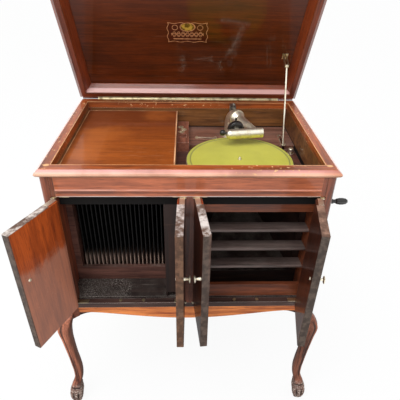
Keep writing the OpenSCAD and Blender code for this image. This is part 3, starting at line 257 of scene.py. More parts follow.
# %% The grain of mahogany
def make_mahogany_grain():
    """Noise stretched along X at several scales: ribbons, streaks, fibres and pores, each with its share."""
    given, sent = new_group(
        "mahogany_grain",
        [("Along", "Vector", None), ("Pale", "Color", (0.3, 0.1, 0.05, 1)),
         ("Deep", "Color", (0.1, 0.03, 0.02, 1)), ("Figure", "Float", 0.6), ("Pores", "Float", 0.5)],
        [("Colour", "Color"), ("Pore", "Float"), ("Blotch", "Float")])

    def stretched(scale, length, detail, rough=0.55, warp=0.0):
        squeezed = vector_math("MULTIPLY", given["Along"], (1 / length, 1, 1))
        return noise(squeezed, scale, detail, rough, warp)

    ribbon = stretched(11, 4, 3, warp=1.2).step(0.32, 0.68)
    streak = stretched(75, 14, 4, rough=0.6, warp=0.4).step(0.34, 0.66)
    fibre = stretched(330, 34, 3, rough=0.6).step(0.3, 0.7)
    dark = stretched(1100, 30, 1).step(0.58, 0.7) * given["Pores"]
    shade = ribbon * 0.34 + streak * 0.40 + fibre * 0.26
    shade = ((shade - 0.5) * given["Figure"] + 0.5).clamped()
    wood = mixed(shade, given["Deep"], given["Pale"])
    pore_colour = mixed(0.75, given["Deep"], (0.004, 0.002, 0.001, 1))
    fill(sent, {"Colour": mixed(dark, wood, pore_colour), "Pore": dark, "Blotch": stretched(5, 1.6, 3)})
    return sent.id_data


mahogany_grain = make_mahogany_grain()
print("group", mahogany_grain.name, "with", len(mahogany_grain.nodes), "nodes")

# %% [markdown]
# ## Worn edges
# A hundred years of hands rub the stain off each arris, and the bare wood under it is paler. The Bevel node
# gives the normal that a rounded edge would have. Where it differs from the true normal there is an edge
# near, so one less their dot product is a mask of edges. Noise breaks the mask up, because wear is uneven.


# %% The mask of worn edges
def make_worn_edges():
    """1 where an edge is rubbed through: one less (rounded normal . true normal), broken by noise."""
    given, sent = new_group(
        "worn_edges", [("Radius", "Float", 0.002), ("Amount", "Float", 0.5), ("Scale", "Float", 60.0)],
        [("Mask", "Float")])
    group = sent.id_data
    rounded = get(group, "Bevel", {"Radius": given["Radius"]}, samples=6)
    match = vector_math("DOT_PRODUCT", rounded, get(group, "NewGeometry", output="Normal"), "Value")
    edge = ((1.0 - match) * 3.0).clamped()
    patches = noise(object_place(group), given["Scale"], 5.0, 0.65)
    keep = (patches + (given["Amount"] - 0.5)).step(0.42, 0.62)
    fill(sent, {"Mask": (edge * keep).clamped()})
    return group


worn_edges = make_worn_edges()
print("group", worn_edges.name, "with", len(worn_edges.nodes), "nodes")

# %% [markdown]
# ## Scratches, spots and dust
# Flat varnish carries fine scratches in every direction and pale spots where something was set down. Dust
# lies only on what faces up. These are masks too, and each material decides what colour they turn.


# %% The masks of scratches and dust
def make_scuffs():
    """Two noises stretched along two crossing directions, cut to thin lines, plus small round spots."""
    given, sent = new_group("scuffs", [("Amount", "Float", 0.5)], [("Mask", "Float")])
    place = object_place(sent.id_data)
    lines = [noise(get(place.tree, "Mapping", {"Vector": place, "Rotation": turn, "Scale": (0.05, 1.0, 1.0)}),
                   scale, 1.0).step(0.70, 0.76)
             for turn, scale in (((0.3, 0.2, 0.5), 150), ((-0.2, 0.5, -0.9), 190))]
    patch = noise(place, 9.0, 3.0)
    spots = get(place.tree, "TexVoronoi", {"Vector": place, "Scale": 85.0, "Randomness": 1.0}, "Distance")
    spot = spots.fall(0.06, 0.13) * patch.step(0.55, 0.65)
    marks = most(most(*lines) * patch.step(0.4, 0.6), spot)
    fill(sent, {"Mask": (marks * given["Amount"]).clamped()})
    return sent.id_data


def make_dust():
    """The upward part of the normal, times a soft noise and a fine speckle."""
    given, sent = new_group("dust", [("Amount", "Float", 0.5)], [("Mask", "Float")])
    place = object_place(sent.id_data)
    facing = xyz(get(place.tree, "NewGeometry", output="Normal"))[2]
    lying = facing.step(0.5, 0.95) * noise(place, 14.0, 4.0, 0.6).step(0.3, 0.7)
    lying = lying * 0.6 + lying * noise(place, 900.0, 1.0).step(0.5, 0.7)
    fill(sent, {"Mask": (lying * given["Amount"]).clamped()})
    return sent.id_data


scuffs, dust = make_scuffs(), make_dust()
print("groups", scuffs.name, "and", dust.name)

# %% [markdown]
# ## Which way the grain runs
# A board's fibres run along its length, so the same grain is turned for each board. A mitred frame has
# boards both ways in one mesh: on each point the longer way from the frame's middle says which rail it is on.

# %% Places on the case and on the lid
LID_HINGE = Vector((0, 0.255, 0.88815))
LID_OPEN = math.radians(62.5)


def case_place(tree):
    """Object coordinates about the case's own middle."""
    return vector_math("SUBTRACT", object_place(tree), MIDDLE)


def lid_place(place):
    """Case coordinates as if the lid were shut: turned about its hinge by the angle it stands open."""
    return get(place.tree, "Mapping", {"Vector": vector_math("SUBTRACT", place, LID_HINGE),
                                       "Rotation": (LID_OPEN, 0, 0), "Location": LID_HINGE})


# %% Turning the grain
RIM_IN_X, RIM_IN_Y = 0.3366, 0.2236


def joined(x, y, z):
    """A vector from its three parts."""
    return get(tree_of(x, y, z), "CombineXYZ", {"X": x, "Y": y, "Z": z})


def grain_vector(place, along, offset=0.0):
    """Case coordinates with the grain's way first. 'mitre' and 'lid mitre' choose rail by rail."""
    x, y, z = xyz(lid_place(place) if along == "lid mitre" else place)
    if along in ("X", "Y", "Z"):
        first, second, third = {"X": (x, y, z), "Y": (y, z, x), "Z": (z, x, y)}[along]
    else:
        on_side = (abs(x) - RIM_IN_X) > (abs(y) - RIM_IN_Y)
        swap = get(x.tree, "Mix", {0: on_side, 4: joined(x, y, z), 5: joined(y, x, z)}, 1, data_type="VECTOR")
        first, second, third = xyz(swap)
    return joined(first + offset, second + offset, third)


# %% [markdown]
# ## The varnished finish
# Varnish is a clear, slightly orange-peeled coat over the wood: the Principled shader's coat gives the
# sharp reflection, and its own roughness stays with the wood below. Worn edges and scratches lose the coat.


# %% Varnished wood
def varnished(name, pale, deep, along, gloss=0.45, wear=0.5, bare=(176, 128, 100), figure=1.1, pores=0.5,
              dusty=0.0, scuffed=0.35, rough=0.5, edge=0.0016, offset=0.0, coat_rough=0.1, specular=0.25,
              paint=None):
    """Mahogany under varnish: grain, worn arrises, scuffs, dust and a glossy coat. paint(place, colour, dull)
    may add what only one piece has, such as a worn end, and returns the new colour and dullness."""
    material, tree, shader = new_material(name)
    place = case_place(tree)
    grain = use(tree, mahogany_grain, {"Along": grain_vector(place, along, offset), "Pale": rgb(*pale),
                                       "Deep": rgb(*deep), "Figure": figure, "Pores": pores})
    worn = use(tree, worn_edges, {"Radius": edge, "Amount": wear})["Mask"]
    scuff = use(tree, scuffs, {"Amount": scuffed})["Mask"]
    lying = use(tree, dust, {"Amount": dusty})["Mask"]
    colour = mixed(worn * 0.85, grain["Colour"], rgb(*bare))
    colour = mixed(scuff * 0.5, colour, rgb(*bare))
    dull = most(worn, scuff)
    if paint:
        colour, dull = paint(place, colour, dull)
    dull = most(dull, lying)
    haze = grain["Blotch"].step(0.35, 0.7) * 0.12
    peel = noise(object_place(tree), 70.0, 2.0)
    normal = raised(peel * 0.35 - grain["Pore"], 0.12, 0.0006, edge, samples=4)
    fill(shader, {"Base Color": mixed(lying * 0.6, colour, rgb(150, 140, 132)),
                  "Roughness": (rough + haze + dull * 0.25).clamped(),
                  "Coat Weight": (1.0 - dull).clamped() * gloss, "Coat Roughness": coat_rough,
                  "Specular IOR Level": specular, "Normal": normal, "Coat Normal": normal})
    return material


# %% Giving solids their finish
undressed = set(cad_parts)


def dress(nodes, material):
    """Gives the solids of some nodes one material. Nothing else about them changes."""
    for name in nodes.split():
        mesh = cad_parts[name].data
        mesh.materials.clear()
        mesh.materials.append(material)
        undressed.discard(name)
    print(material.name, "is on", nodes)
    return material


# %% [markdown]
# ## Plain boards
# Most boards differ only in colour, in the way of their grain and in how much they were rubbed. Outside they
# are red brown and glossy. Inside they are nearly black, a painted shade, and never polished. The back
# is bare.

# %% Boards outside
side_wood = dress("side_panels", varnished("side_wood", (146, 70, 40), (62, 27, 16), "Z", offset=0.81))
dress("corner_posts centre_stile",
      varnished("case_wood_upright", (150, 76, 46), (60, 28, 18), "Z", wear=0.6, offset=0.37))
lid_rail_wood = dress("lid_rails", varnished("lid_rail_wood", (142, 62, 28), (72, 28, 13), "lid mitre",
                                             gloss=0.6, wear=0.6))
dress("front_apron", varnished("apron_veneer", (255, 154, 82), (154, 72, 35), "X", wear=0.45, offset=2.1,
                               figure=1.4))
dress("bottom_rail", varnished("ledge_wood", (92, 66, 58), (38, 25, 22), "X", gloss=0.35, wear=1.0,
                               bare=(206, 196, 188), scuffed=0.6, edge=0.0022))
dress("back_panel", varnished("back_wood", (164, 118, 88), (104, 68, 48), "X", gloss=0.0, wear=0.2, rough=0.7,
                              scuffed=0.5))
# The knee blocks sit under the case, and their near-black colour is painted shade.
dress("knee_blocks", varnished("knee_wood_painted_shade", (66, 34, 24), (26, 12, 9), "X", offset=5.9,
                               bare=(170, 140, 120)))

# %% Boards under the lid
dress("motor_board", varnished("motor_board_wood", (116, 66, 54), (56, 28, 22), "X", gloss=0.6, wear=1.0,
                               bare=(170, 140, 126), dusty=0.3, offset=6.0))
dress("rear_shelf", varnished("shelf_wood", (156, 104, 84), (82, 50, 40), "X", gloss=0.6, wear=1.0,
                              bare=(190, 160, 146), dusty=0.4, offset=4.1))
dress("cover_supports cup_block", varnished("cup_block_wood", (178, 112, 88), (100, 58, 44), "Y", gloss=0.5,
                                            wear=1.0, bare=(226, 186, 166), offset=7.1))

# %% Boards behind the doors
# Behind the doors the near-black colour is painted shade.
dress("horn_boards", varnished("inside_wood_painted_shade", (50, 28, 20), (18, 9, 7), "X", gloss=0.2, wear=0.35, dusty=0.7,
                               rough=0.6, bare=(120, 90, 72)))
dress("partition filler_board", varnished("inside_upright_wood_painted_shade", (52, 28, 20), (18, 9, 7), "Z", gloss=0.15,
                                          wear=0.3, dusty=0.4, rough=0.6, bare=(120, 90, 72)))
dress("louvre_slats", varnished("louvre_wood", (118, 98, 92), (46, 38, 36), "X", gloss=0.5, wear=0.8,
                                dusty=0.35, bare=(126, 108, 100), scuffed=0.5))
dress("louvre_frame", varnished("louvre_board_wood", (142, 74, 42), (66, 32, 20), "X", gloss=0.3, wear=0.4))
dress("rack_frame", varnished("rack_wood", (124, 82, 70), (56, 34, 30), "X", gloss=0.2, wear=0.4, dusty=0.6,
                              rough=0.55))

# %% [markdown]
# ## Chips and worn corners on the rim
# The rim is what people lean on. Its two front corners are rubbed to a round pale spot, a mask made from the
# distance to a point. Chips run along its flat top, most of all at the left, where a noise passes a limit.
# The sky's pinkish reflection on the front bevel and a pale line along the inner arris are painted
# highlights.

# %% The rim
BEVEL_FROM, BEVEL_LOW, RIM_TOP = 0.2475, 0.871, 0.888
LEFT_RAIL = -0.337
CORNER_R, CORNER_STRETCH = 0.0095, 1.25
WORN_CORNERS = ((-0.3466, -0.2268), (0.3457, -0.2277))


def rim_paint(place, colour, dull):
    """A disc at each worn corner, chips on the top, a painted pinkish highlight on the bevel, and a painted
    pale highlight on the inner arris.
    """
    x, y, z = xyz(place)
    chips = noise(place, 95.0, 2.0, 0.7)
    left = (x < LEFT_RAIL) * 0.7
    mark = chips.step(0.62, 0.67) * (noise(place, 6.0, 1.0).step(0.48, 0.6) + left).clamped()
    flat = vector_math("MULTIPLY", place, (1, CORNER_STRETCH, 0))
    for corner_x, corner_y in WORN_CORNERS:
        away = vector_math("DISTANCE", flat, (corner_x, corner_y * CORNER_STRETCH, 0), "Value")
        mark = most(mark, (away + chips * 0.004).fall(CORNER_R - 0.001, CORNER_R + 0.001))
    beyond = most(abs(x) - (RIM_IN_X - RIM_IN_Y), abs(y))
    bevel = beyond.step(BEVEL_FROM, BEVEL_FROM + 0.001) * z.step(BEVEL_LOW - 0.0005, BEVEL_LOW + 0.0005)
    highlight_breakup = noise(place, 9.0, 4.0).step(0.3, 0.6)
    # Painted highlights: the sky's pinkish reflection on the front bevel, then a pale line on the inner
    # arris.
    sky_highlight = mixed(z.step(RIM_TOP - 0.011, RIM_TOP - 0.002), rgb(252, 200, 170), rgb(214, 148, 142))
    colour = mixed(bevel * (highlight_breakup * 0.45 + 0.4), colour, sky_highlight)
    inner = beyond.fall(RIM_IN_Y + 0.0012, RIM_IN_Y + 0.0026) * z.step(RIM_TOP - 0.0015, RIM_TOP - 0.0005)
    colour = mixed(inner * (highlight_breakup * 0.6 + 0.25), colour, rgb(236, 176, 120))
    return mixed(mark * 0.9, colour, rgb(222, 176, 128)), most(dull, mark)


dress("rim_moulding", varnished("rim_wood", (190, 94, 38), (92, 42, 16), "mitre", gloss=0.6, wear=1.0,
                                bare=(236, 190, 150), paint=rim_paint))

# %% [markdown]
# ## Doors
# A door's faces differ. Its outer face is dark with painted shade, and its inner face is paler, with an upper
# part of another tint and, on the first door, a painted reflection of the bright ground low down. Its top is
# bare grey end grain, and its free edge is black with handling. A Mapping node turns case coordinates into
# the door's own: along the door from its pin, through its thickness, and up.

# %% The doors' places
PIN_X, PIN_Y = (-0.3355, -0.0115, 0.0115, 0.3355), -0.2505
DOOR_TURN = [math.radians(a) for a in (-116, 88.7, -84, 80)]
DOOR_END = (0.1647, 0.1587, 0.1587, 0.1647)
DOOR_T, DOOR_TOP = 0.019, 0.8105
UPPER_BAND_FROM, UPPER_BAND_TO = 0.655, 0.70
LEFT_HUNG = (0, 2)


def door_place(number, place):
    """How far a point is along a door from its pin, through it and up, and the door's own coordinates."""
    turn = -DOOR_TURN[number]
    at = Matrix.Rotation(turn, 3, "Z") @ Vector((PIN_X[number], PIN_Y, 0))
    own = get(place.tree, "Mapping", {"Vector": place, "Location": -at, "Rotation": (0, 0, turn)})
    x, y, z = xyz(own)
    return (x if number in LEFT_HUNG else x * -1.0), y, z, own


# %% The doors' finish
def door_paint(number, ground_reflection_share, inner, upper_tint, outer_shade_tint, edge_colour, top_colour):
    """The paint of one door: masks from its own coordinates choose a colour for each face."""
    def paint(place, colour, dull):
        along, through, height, own = door_place(number, place)
        patch, streaks = noise(place, 16.0, 5.0, 0.7), noise(own, 55.0, 4.0, 0.6)
        inside = through.step(DOOR_T * 0.5, DOOR_T * 0.95)
        upper_band = (height + (patch - 0.5) * 0.12).step(UPPER_BAND_FROM, UPPER_BAND_TO)
        # The outer face's darker tint is painted shade. The inner face has one tint below a height and
        # another above.
        tint = mixed(inside, rgb(*outer_shade_tint), mixed(upper_band, rgb(*inner), rgb(*upper_tint)))
        colour = mixed(1.0, colour, tint, "MULTIPLY")
        # Painted reflection of the bright ground on the lower inner face.
        colour = mixed(inside * (1.0 - upper_band) * ground_reflection_share, colour, rgb(186, 140, 124))
        end = along.step(DOOR_END[number] - 0.0035, DOOR_END[number] - 0.001)
        hands = mixed(streaks.step(0.4, 0.65), rgb(*edge_colour), rgb(*(int(c * 1.5) for c in edge_colour)))
        colour = mixed(end * 0.92, colour, hands)
        top = height.step(DOOR_TOP - 0.0012, DOOR_TOP - 0.0004)
        bare_end = mixed((patch + streaks * 0.5).step(0.62, 0.84), rgb(*top_colour), rgb(94, 70, 58))
        return mixed(top, colour, bare_end), most(dull, most(end * 0.8, top))
    return paint


# The share of painted reflection, then the colours of the inner face, its upper part, the outer face in
# painted shade, the free edge and the top.
DOOR_LOOK = ((0.45, (255, 226, 206), (250, 186, 118), (130, 104, 96), (62, 54, 48), (204, 194, 186)),
             (0.0, (190, 140, 120), (200, 140, 110), (114, 90, 82), (84, 62, 48), (196, 184, 178)),
             (0.0, (200, 150, 130), (210, 150, 120), (106, 84, 76), (66, 56, 50), (206, 196, 190)),
             (0.0, (122, 100, 92), (104, 84, 76), (120, 92, 84), (64, 56, 50), (150, 116, 98)))
for number, look in enumerate(DOOR_LOOK):
    dress(f"door_{number + 1}",
          varnished(f"door_{number + 1}_wood", (206, 128, 80), (116, 62, 38), "Z", wear=1.0,
                    bare=(226, 206, 188), offset=1.7 + number, paint=door_paint(number, *look)))

# %% [markdown]
# ## Bands on the frieze
# Below the rim the frieze has a pale line over a dark band, the painted shade of a groove, with a lighter
# line in it, and a lower edge rubbed bare. Each is a band between two heights, and noise makes it stronger
# and weaker.

# %% The frieze
BAND_SOFT = 0.0005
# Low, high, share and colour of each band: the painted shade of a groove, a lighter line in it, a pale line
# above it, and the lower edge rubbed bare.
BANDS = ((0.8195, 0.8305, 0.62, (66, 38, 32)), (0.8245, 0.8262, 0.5, (176, 120, 104)),
         (0.8308, 0.8332, 0.9, (236, 180, 160)), (0.8118, 0.8142, 1.0, (226, 214, 210)))


def frieze_paint(place, colour, dull):
    """Bands from one height to another, each with its share and its colour."""
    height = xyz(place)[2]
    some = noise(place, 14.0, 4.0).step(0.35, 0.62) * 0.5 + 0.4
    for low, high, share, tint in BANDS:
        above = height.step(low - BAND_SOFT, low + BAND_SOFT)
        below = height.fall(high - BAND_SOFT, high + BAND_SOFT)
        colour = mixed(above * below * share * some, colour, rgb(*tint))
    return colour, dull


dress("front_frieze", varnished("frieze_wood", (214, 120, 78), (116, 56, 34), "X", wear=0.6, figure=0.9,
                                paint=frieze_paint))

# %% [markdown]
# ## The cover and the well
# The record side's cover is darker towards the back, softly blotched, and pale along its arrises. The well's
# linings go on down below the motor board, where painted shade makes them nearly black.

# %% The cover
COVER_X, COVER_Y = (-0.3366, -0.038), 0.2236
STRIP_X = -0.2445


def cover_paint(place, colour, dull):
    """Pale arrises, a shade that deepens to the back, soft orange blots, and a hint of bleach at the left."""
    x, y, _ = xyz(place)
    half = (COVER_X[1] - COVER_X[0]) / 2
    beyond = most(abs(x - (COVER_X[0] + half)) - half, abs(y) - COVER_Y)
    some = noise(place, 11.0, 4.0).step(0.35, 0.6) * 0.55 + 0.3
    colour = mixed(x.fall(STRIP_X - 0.0015, STRIP_X + 0.0015) * 0.04, colour, rgb(206, 150, 120))
    colour = mixed(y.step(-0.08, 0.2) * 0.6, colour, rgb(84, 32, 14))
    colour = mixed(noise(place, 5.0, 4.0).step(0.5, 0.72) * 0.35, colour, rgb(206, 116, 50))
    return mixed(beyond.step(-0.0042, -0.0026) * some, colour, rgb(240, 186, 140)), dull


dress("cover_panel", varnished("cover_wood", (178, 92, 34), (98, 44, 14), "X", gloss=0.3, specular=0.15,
                               wear=0.9, bare=(226, 176, 140), offset=3.3, figure=0.55, paint=cover_paint))

# %% The well
WELL_DARK_TO = 0.803


def well_paint(place, colour, dull):
    """Painted shade, almost black, below the motor board."""
    below = xyz(place)[2].fall(WELL_DARK_TO, WELL_DARK_TO + 0.003)
    return mixed(below, colour, rgb(12, 9, 8)), most(dull, below)


dress("well_linings", varnished("well_wood", (148, 96, 48), (64, 36, 20), "X", gloss=0.6, dusty=0.15,
                                bare=(186, 140, 116), offset=0.9, paint=well_paint))

# %% [markdown]
# ## The record compartment
# White grit lies on its floor, thick at the left and thin elsewhere. The dividers' feet are pale with painted
# light, and above the feet the dividers are black with painted shade.

# %% Grit and dividers
LIT_FEET_TO, PAINTED_SHADE_FROM = 0.522, 0.548


def grit_paint(place, colour, dull):
    """Fine noise, cut to specks where a broader noise and the left side allow it."""
    left = xyz(place)[0].fall(-0.33, -0.15) * 0.6
    thick = (noise(place, 7.0, 3.0).step(0.42, 0.62) + left).clamped()
    mark = noise(place, 420.0, 2.0, 0.7).step(0.54, 0.64) * thick
    return mixed(mark * 0.75, colour, rgb(206, 200, 190)), most(dull, mark)


def divider_paint(place, colour, dull):
    """Painted light on the feet, pale, and painted shade above, black, whatever the wood's own colour."""
    return mixed(xyz(place)[2].step(LIT_FEET_TO, PAINTED_SHADE_FROM), rgb(150, 128, 116), rgb(9, 8, 8)), dull


dress("floor_board", varnished("compartment_floor", (60, 46, 42), (24, 18, 17), "X", gloss=0.3, wear=0.8,
                               bare=(190, 180, 170), dusty=0.25, paint=grit_paint))
dress("record_dividers", varnished("divider_wood", (40, 28, 24), (14, 10, 9), "Y", gloss=0.05, wear=0.35,
                                   bare=(110, 92, 80), dusty=0.1, rough=0.6, paint=divider_paint))

# %% [markdown]
# ## Legs
# The legs' masks need a relief, a number that the carved piece below stores at each point: above 0 on the
# ridge and below 0 in hollows and grooves. The pinkish ridge is a painted highlight, and the dark of the
# hollows, the grooves, the inward sides and the right legs is painted shade.

# %% The legs' finish
FOOT_TO, SHAFT_FROM = 0.062, 0.088


def leg_paint(place, colour, dull):
    """Painted shade on the sides turned inwards and on the right legs, a painted pinkish highlight on ridges,
    grey with wear at the foot, and painted shade, nearly black, in the hollows and grooves."""
    x, _, z = xyz(place)
    facing = xyz(get(place.tree, "NewGeometry", output="Normal"))[0]
    away = (facing * calc("SIGN", x)).fall(-0.75, 0.0)
    # Painted shade on the sides turned inwards and on the right legs.
    colour = mixed(most(away * 0.75, (x > 0.0) * 0.6), colour, rgb(38, 22, 17))
    relief = get(place.tree, "Attribute", output="Fac", attribute_name="relief")
    # Painted highlight on the ridge.
    colour = mixed(relief.step(0.2, 0.8) * 0.45, colour, rgb(226, 150, 122))
    foot = z.fall(FOOT_TO, SHAFT_FROM)
    old = mixed(noise(place, 210.0, 3.0).step(0.5, 0.66), rgb(116, 94, 86), rgb(214, 198, 186))
    colour = mixed(foot * 0.85, colour, old)
    # Painted shade in the hollows and grooves.
    return mixed(relief.fall(-0.8, -0.1) * 0.8, colour, rgb(30, 17, 13)), most(dull, foot)


leg_wood = dress("legs", varnished("leg_wood", (226, 140, 106), (80, 42, 33), "Z", gloss=0.15, offset=5.2,
                                   bare=(170, 110, 88), edge=0.003, figure=1.5, paint=leg_paint))

# %% [markdown]
# ## The gilt ornament
# In the middle of the lid's panel is a gilt ornament: a plaque's outline, a medallion, two rings, a chain of
# lens shapes and a row of dots. Each is a curve d(p, q) = 0 in millimetres on the panel, and a line is where
# |d| is under half its width.


# %% Curves on the lid
def line(d, half):
    """1 on the curve d = 0, 0 beyond about half a line's width from it."""
    return abs(d).fall(half * 0.6, half * 1.3)


def length(a, b):
    """The distance from a = b = 0."""
    return calc("SQRT", a * a + b * b)


def wave(value, pitch):
    """A cosine that comes back every second pitch."""
    return calc("COSINE", value * (math.pi / pitch))


# %% The masks of the ornament
ORNAMENT_X, ORNAMENT_Y = -0.005, 0.011
HALF_WIDE, HALF_HIGH = 58.0, 32.0
RINGS_P, RINGS_Q, RING_R = 37.0, 17.0, 8.0


def make_ornament():
    """Masks of the lines, the medallion and the plaque from p across and q up the panel, in millimetres."""
    given, sent = new_group("gilt_ornament", [("Place", "Vector", None)],
                            [("Line", "Float"), ("Medal", "Float"), ("Field", "Float")])
    x, y, _ = xyz(given["Place"])
    p, q = (x - ORNAMENT_X) * 1000.0, (ORNAMENT_Y - y) * 1000.0
    wide, high = abs(p), abs(q)
    plaque = most(wide + wave(q, 14.0) * 2.0 - HALF_WIDE, high + wave(p, 20.0) * 1.6 - HALF_HIGH)
    medal = length(p / 20.0, (q - 19.0) / 13.0)
    rings = length(wide - RINGS_P, q - RINGS_Q) - RING_R
    links = [line(abs(q + 6.0) - abs(wave(p, 13.0)) * tall, half) for tall, half in ((8.5, 1.1), (3.5, 1.0))]
    dots = length(calc("PINGPONG", p, 2.6) - 1.3, q + 22.0)
    chain, dotted = (wide < 48.0) * most(*links), (wide < 42.0) * line(dots, 1.7)
    mask = most(line(plaque, 0.9), line(rings, 0.9), chain, dotted)
    mask = most(mask * (medal > 1.0), line((medal - 1.08) * 16.0, 1.2))
    fill(sent, {"Line": mask, "Medal": medal < 1.0, "Field": plaque < 0.0})
    return sent.id_data


gilt_ornament = make_ornament()
print("group", gilt_ornament.name, "with", len(gilt_ornament.nodes), "nodes")

# %% The lid's panel
PANEL_UNDER = 0.925


def panel_paint(place, colour, dull):
    """A painted pinkish reflection towards the front, and under the lid the ornament in two golds, a little
    rubbed away.
    """
    place = lid_place(place)
    _, y, z = xyz(place)
    under = z < PANEL_UNDER
    left = noise(place, 160.0, 3.0).step(0.35, 0.6) * 0.45 + 0.55
    gold = mixed(noise(place, 70.0, 2.0).step(0.42, 0.6), rgb(110, 82, 20), rgb(214, 172, 70))
    # Painted reflection of the sky towards the panel's free edge, the top when the lid stands open.
    colour = mixed(y.fall(-0.22, 0.02) * 0.42, colour, rgb(132, 92, 84))
    masks = use(place.tree, gilt_ornament, {"Place": place})
    for name, share, tint in (("Field", 0.5, rgb(66, 22, 12)), ("Medal", 0.85, gold),
                              ("Line", left, rgb(222, 156, 108))):
        colour = mixed(under * (masks[name] * share), colour, tint)
    return colour, dull


dress("lid_panel", varnished("lid_panel_wood", (112, 48, 12), (62, 26, 7), "X", gloss=0.6, specular=0.06,
                             wear=0.1, offset=1.3, scuffed=0.15, coat_rough=0.07, paint=panel_paint))

# %% The lid's cove
COVE_BACK = 0.221


def cove_paint(place, colour, dull):
    """The cove's rail by the hinge faces the sky when the lid is up, and carries a painted pinkish reflection
    of it.
    """
    sky_reflection_share = xyz(lid_place(place))[1].step(COVE_BACK, COVE_BACK + 0.003) * 0.82
    return mixed(sky_reflection_share, colour, rgb(236, 184, 178)), dull


dress("lid_cove", varnished("cove_veneer", (158, 70, 26), (90, 32, 10), "lid mitre", gloss=0.7, wear=0.4,
                            figure=0.8, paint=cove_paint))

# %% [markdown]
# ## Metals and black composition
# Nickel plate that has been handled is warm and cloudy: its roughness wanders, and specks of tarnish sit on
# it. The same recipe in yellow is the old brass of the hinges, and in grey the motor's steel. Pressed black
# composition is paler in patches and has a dusty speckle.


# %% Metals
def plated(name, bright, stained, rough, speckled=0.5):
    """Worn plate: cloudy roughness, stains in soft patches and fine dark specks."""
    material, tree, shader = new_material(name)
    place = object_place(tree)
    speck = noise(place, 420.0, 3.0)
    stain = most(noise(place, 45.0, 5.0).step(0.45, 0.7) * 0.8, speck.step(0.6, 0.72) * speckled)
    fill(shader, {"Base Color": mixed(stain, rgb(*bright), rgb(*stained)), "Metallic": 1.0,
                  "Roughness": rough + stain * 0.25, "Normal": raised(speck, 0.15, 0.0003, 0.0006)})
    return material


dress("needle_cups board_fittings arm_base stay_rod platter spindle winding_arbor crank tonearm gooseneck"
      " speed_knob brake_lever door_1_fittings door_2_fittings door_3_fittings door_4_fittings",
      plated("worn_nickel", (252, 246, 226), (204, 190, 160), 0.4))
dress("case_hinge_leaf lid_hinge_leaf door_plates stay_bracket",
      plated("hinge_brass", (226, 212, 172), (120, 96, 66), 0.34, 0.9))
dress("spring_barrel governor", plated("dull_brass", (196, 170, 112), (120, 96, 58), 0.38))
dress("motor_frame arm_bracket", plated("motor_steel", (150, 148, 142), (92, 84, 74), 0.4, 0.8))


# %% Black composition and painted iron
def black_composition(name, shade, rough, specked=0.3):
    """Nearly black, with a paler cast in patches and a fine dusty speckle."""
    material, tree, shader = new_material(name)
    place = object_place(tree)
    cloud, speck = noise(place, 60.0, 4.0), noise(place, 700.0, 2.0)
    base = mixed(cloud.step(0.35, 0.7), rgb(*shade), rgb(*(c + 14 for c in shade)))
    fill(shader, {"Base Color": mixed(speck.step(0.62, 0.72) * specked, base, rgb(110, 104, 96)),
                  "Roughness": rough + cloud * 0.2, "Normal": raised(speck, 0.1, 0.0003, 0.0006)})
    return material


dress("lift_knob sound_box", black_composition("black_composition", (24, 21, 20), 0.18))
dress("crank_grip", black_composition("turned_ebonite", (34, 31, 30), 0.05, 0.15))
dress("horn_elbow", black_composition("painted_iron", (44, 42, 40), 0.5, 0.6))

# %% [markdown]
# ## Felt
# The turntable's felt is yellow-green, cloudy, and has a seam in a ring near its edge. Its fibres scatter
# light at grazing angles, which is what the sheen of the shader is for.

# %% Felt
TABLE_X, TABLE_Y = 0.1435, -0.075
FELT_R = 0.1512
SEAM_R = FELT_R * 0.93


def make_felt():
    """Colour from the distance to the middle, over a fine fibre noise; bump from the same fibres."""
    material, tree, shader = new_material("turntable_felt")
    place = case_place(tree)
    centred = get(tree, "Mapping", {"Vector": place, "Location": (-TABLE_X, -TABLE_Y, 0), "Scale": (1, 1, 0)})
    radius = get(tree, "VectorMath", {0: centred}, "Value", operation="LENGTH")
    fibre = noise(place, 900.0, 3.0)
    seam = abs(radius - SEAM_R).fall(0.0012, 0.0026)
    colour = mixed(noise(place, 18.0, 4.0), rgb(170, 166, 20), rgb(204, 200, 50))
    colour = mixed(fibre * 0.35, colour, rgb(142, 136, 30))
    colour = mixed(radius.step(SEAM_R, FELT_R * 0.94) * 0.4, colour, rgb(150, 152, 30))
    fill(shader, {"Base Color": mixed(seam * 0.8, colour, rgb(112, 112, 22)), "Roughness": 0.95,
                  "Sheen Weight": 0.4, "Sheen Roughness": 0.5,
                  "Normal": raised(fibre - seam * 1.5, 0.5, 0.0006)})
    return material


dress("felt", make_felt())
print("nodes without a finish:", sorted(undressed))

# %% [markdown]
# ## Surfaces from formulas
# A new piece is a grid of points, a function of a height and an angle, that closes round and has a fan of
# triangles at each end. Its points are worked out all at once with numpy, in millimetres about the case's
# middle, and only then turned into metres in the object's frame.


# %% Faces of a closed grid
def tube_faces(rows, columns, start):
    """Quads between neighbouring rows, closed round, and a fan from each end's middle point."""
    column = np.arange(columns)
    beside = (column + 1) % columns
    base = start + np.arange(rows - 1)[:, None] * columns
    quads = np.stack([base + column, base + beside, base + columns + beside, base + columns + column], -1)
    low, high = start + rows * columns, start + rows * columns + 1
    last = start + (rows - 1) * columns
    first_fan = np.stack([beside + start, column + start, np.full(columns, low)], -1)
    last_fan = np.stack([column + last, beside + last, np.full(columns, high)], -1)
    return quads.reshape(-1, 4).tolist() + first_fan.tolist() + last_fan.tolist()


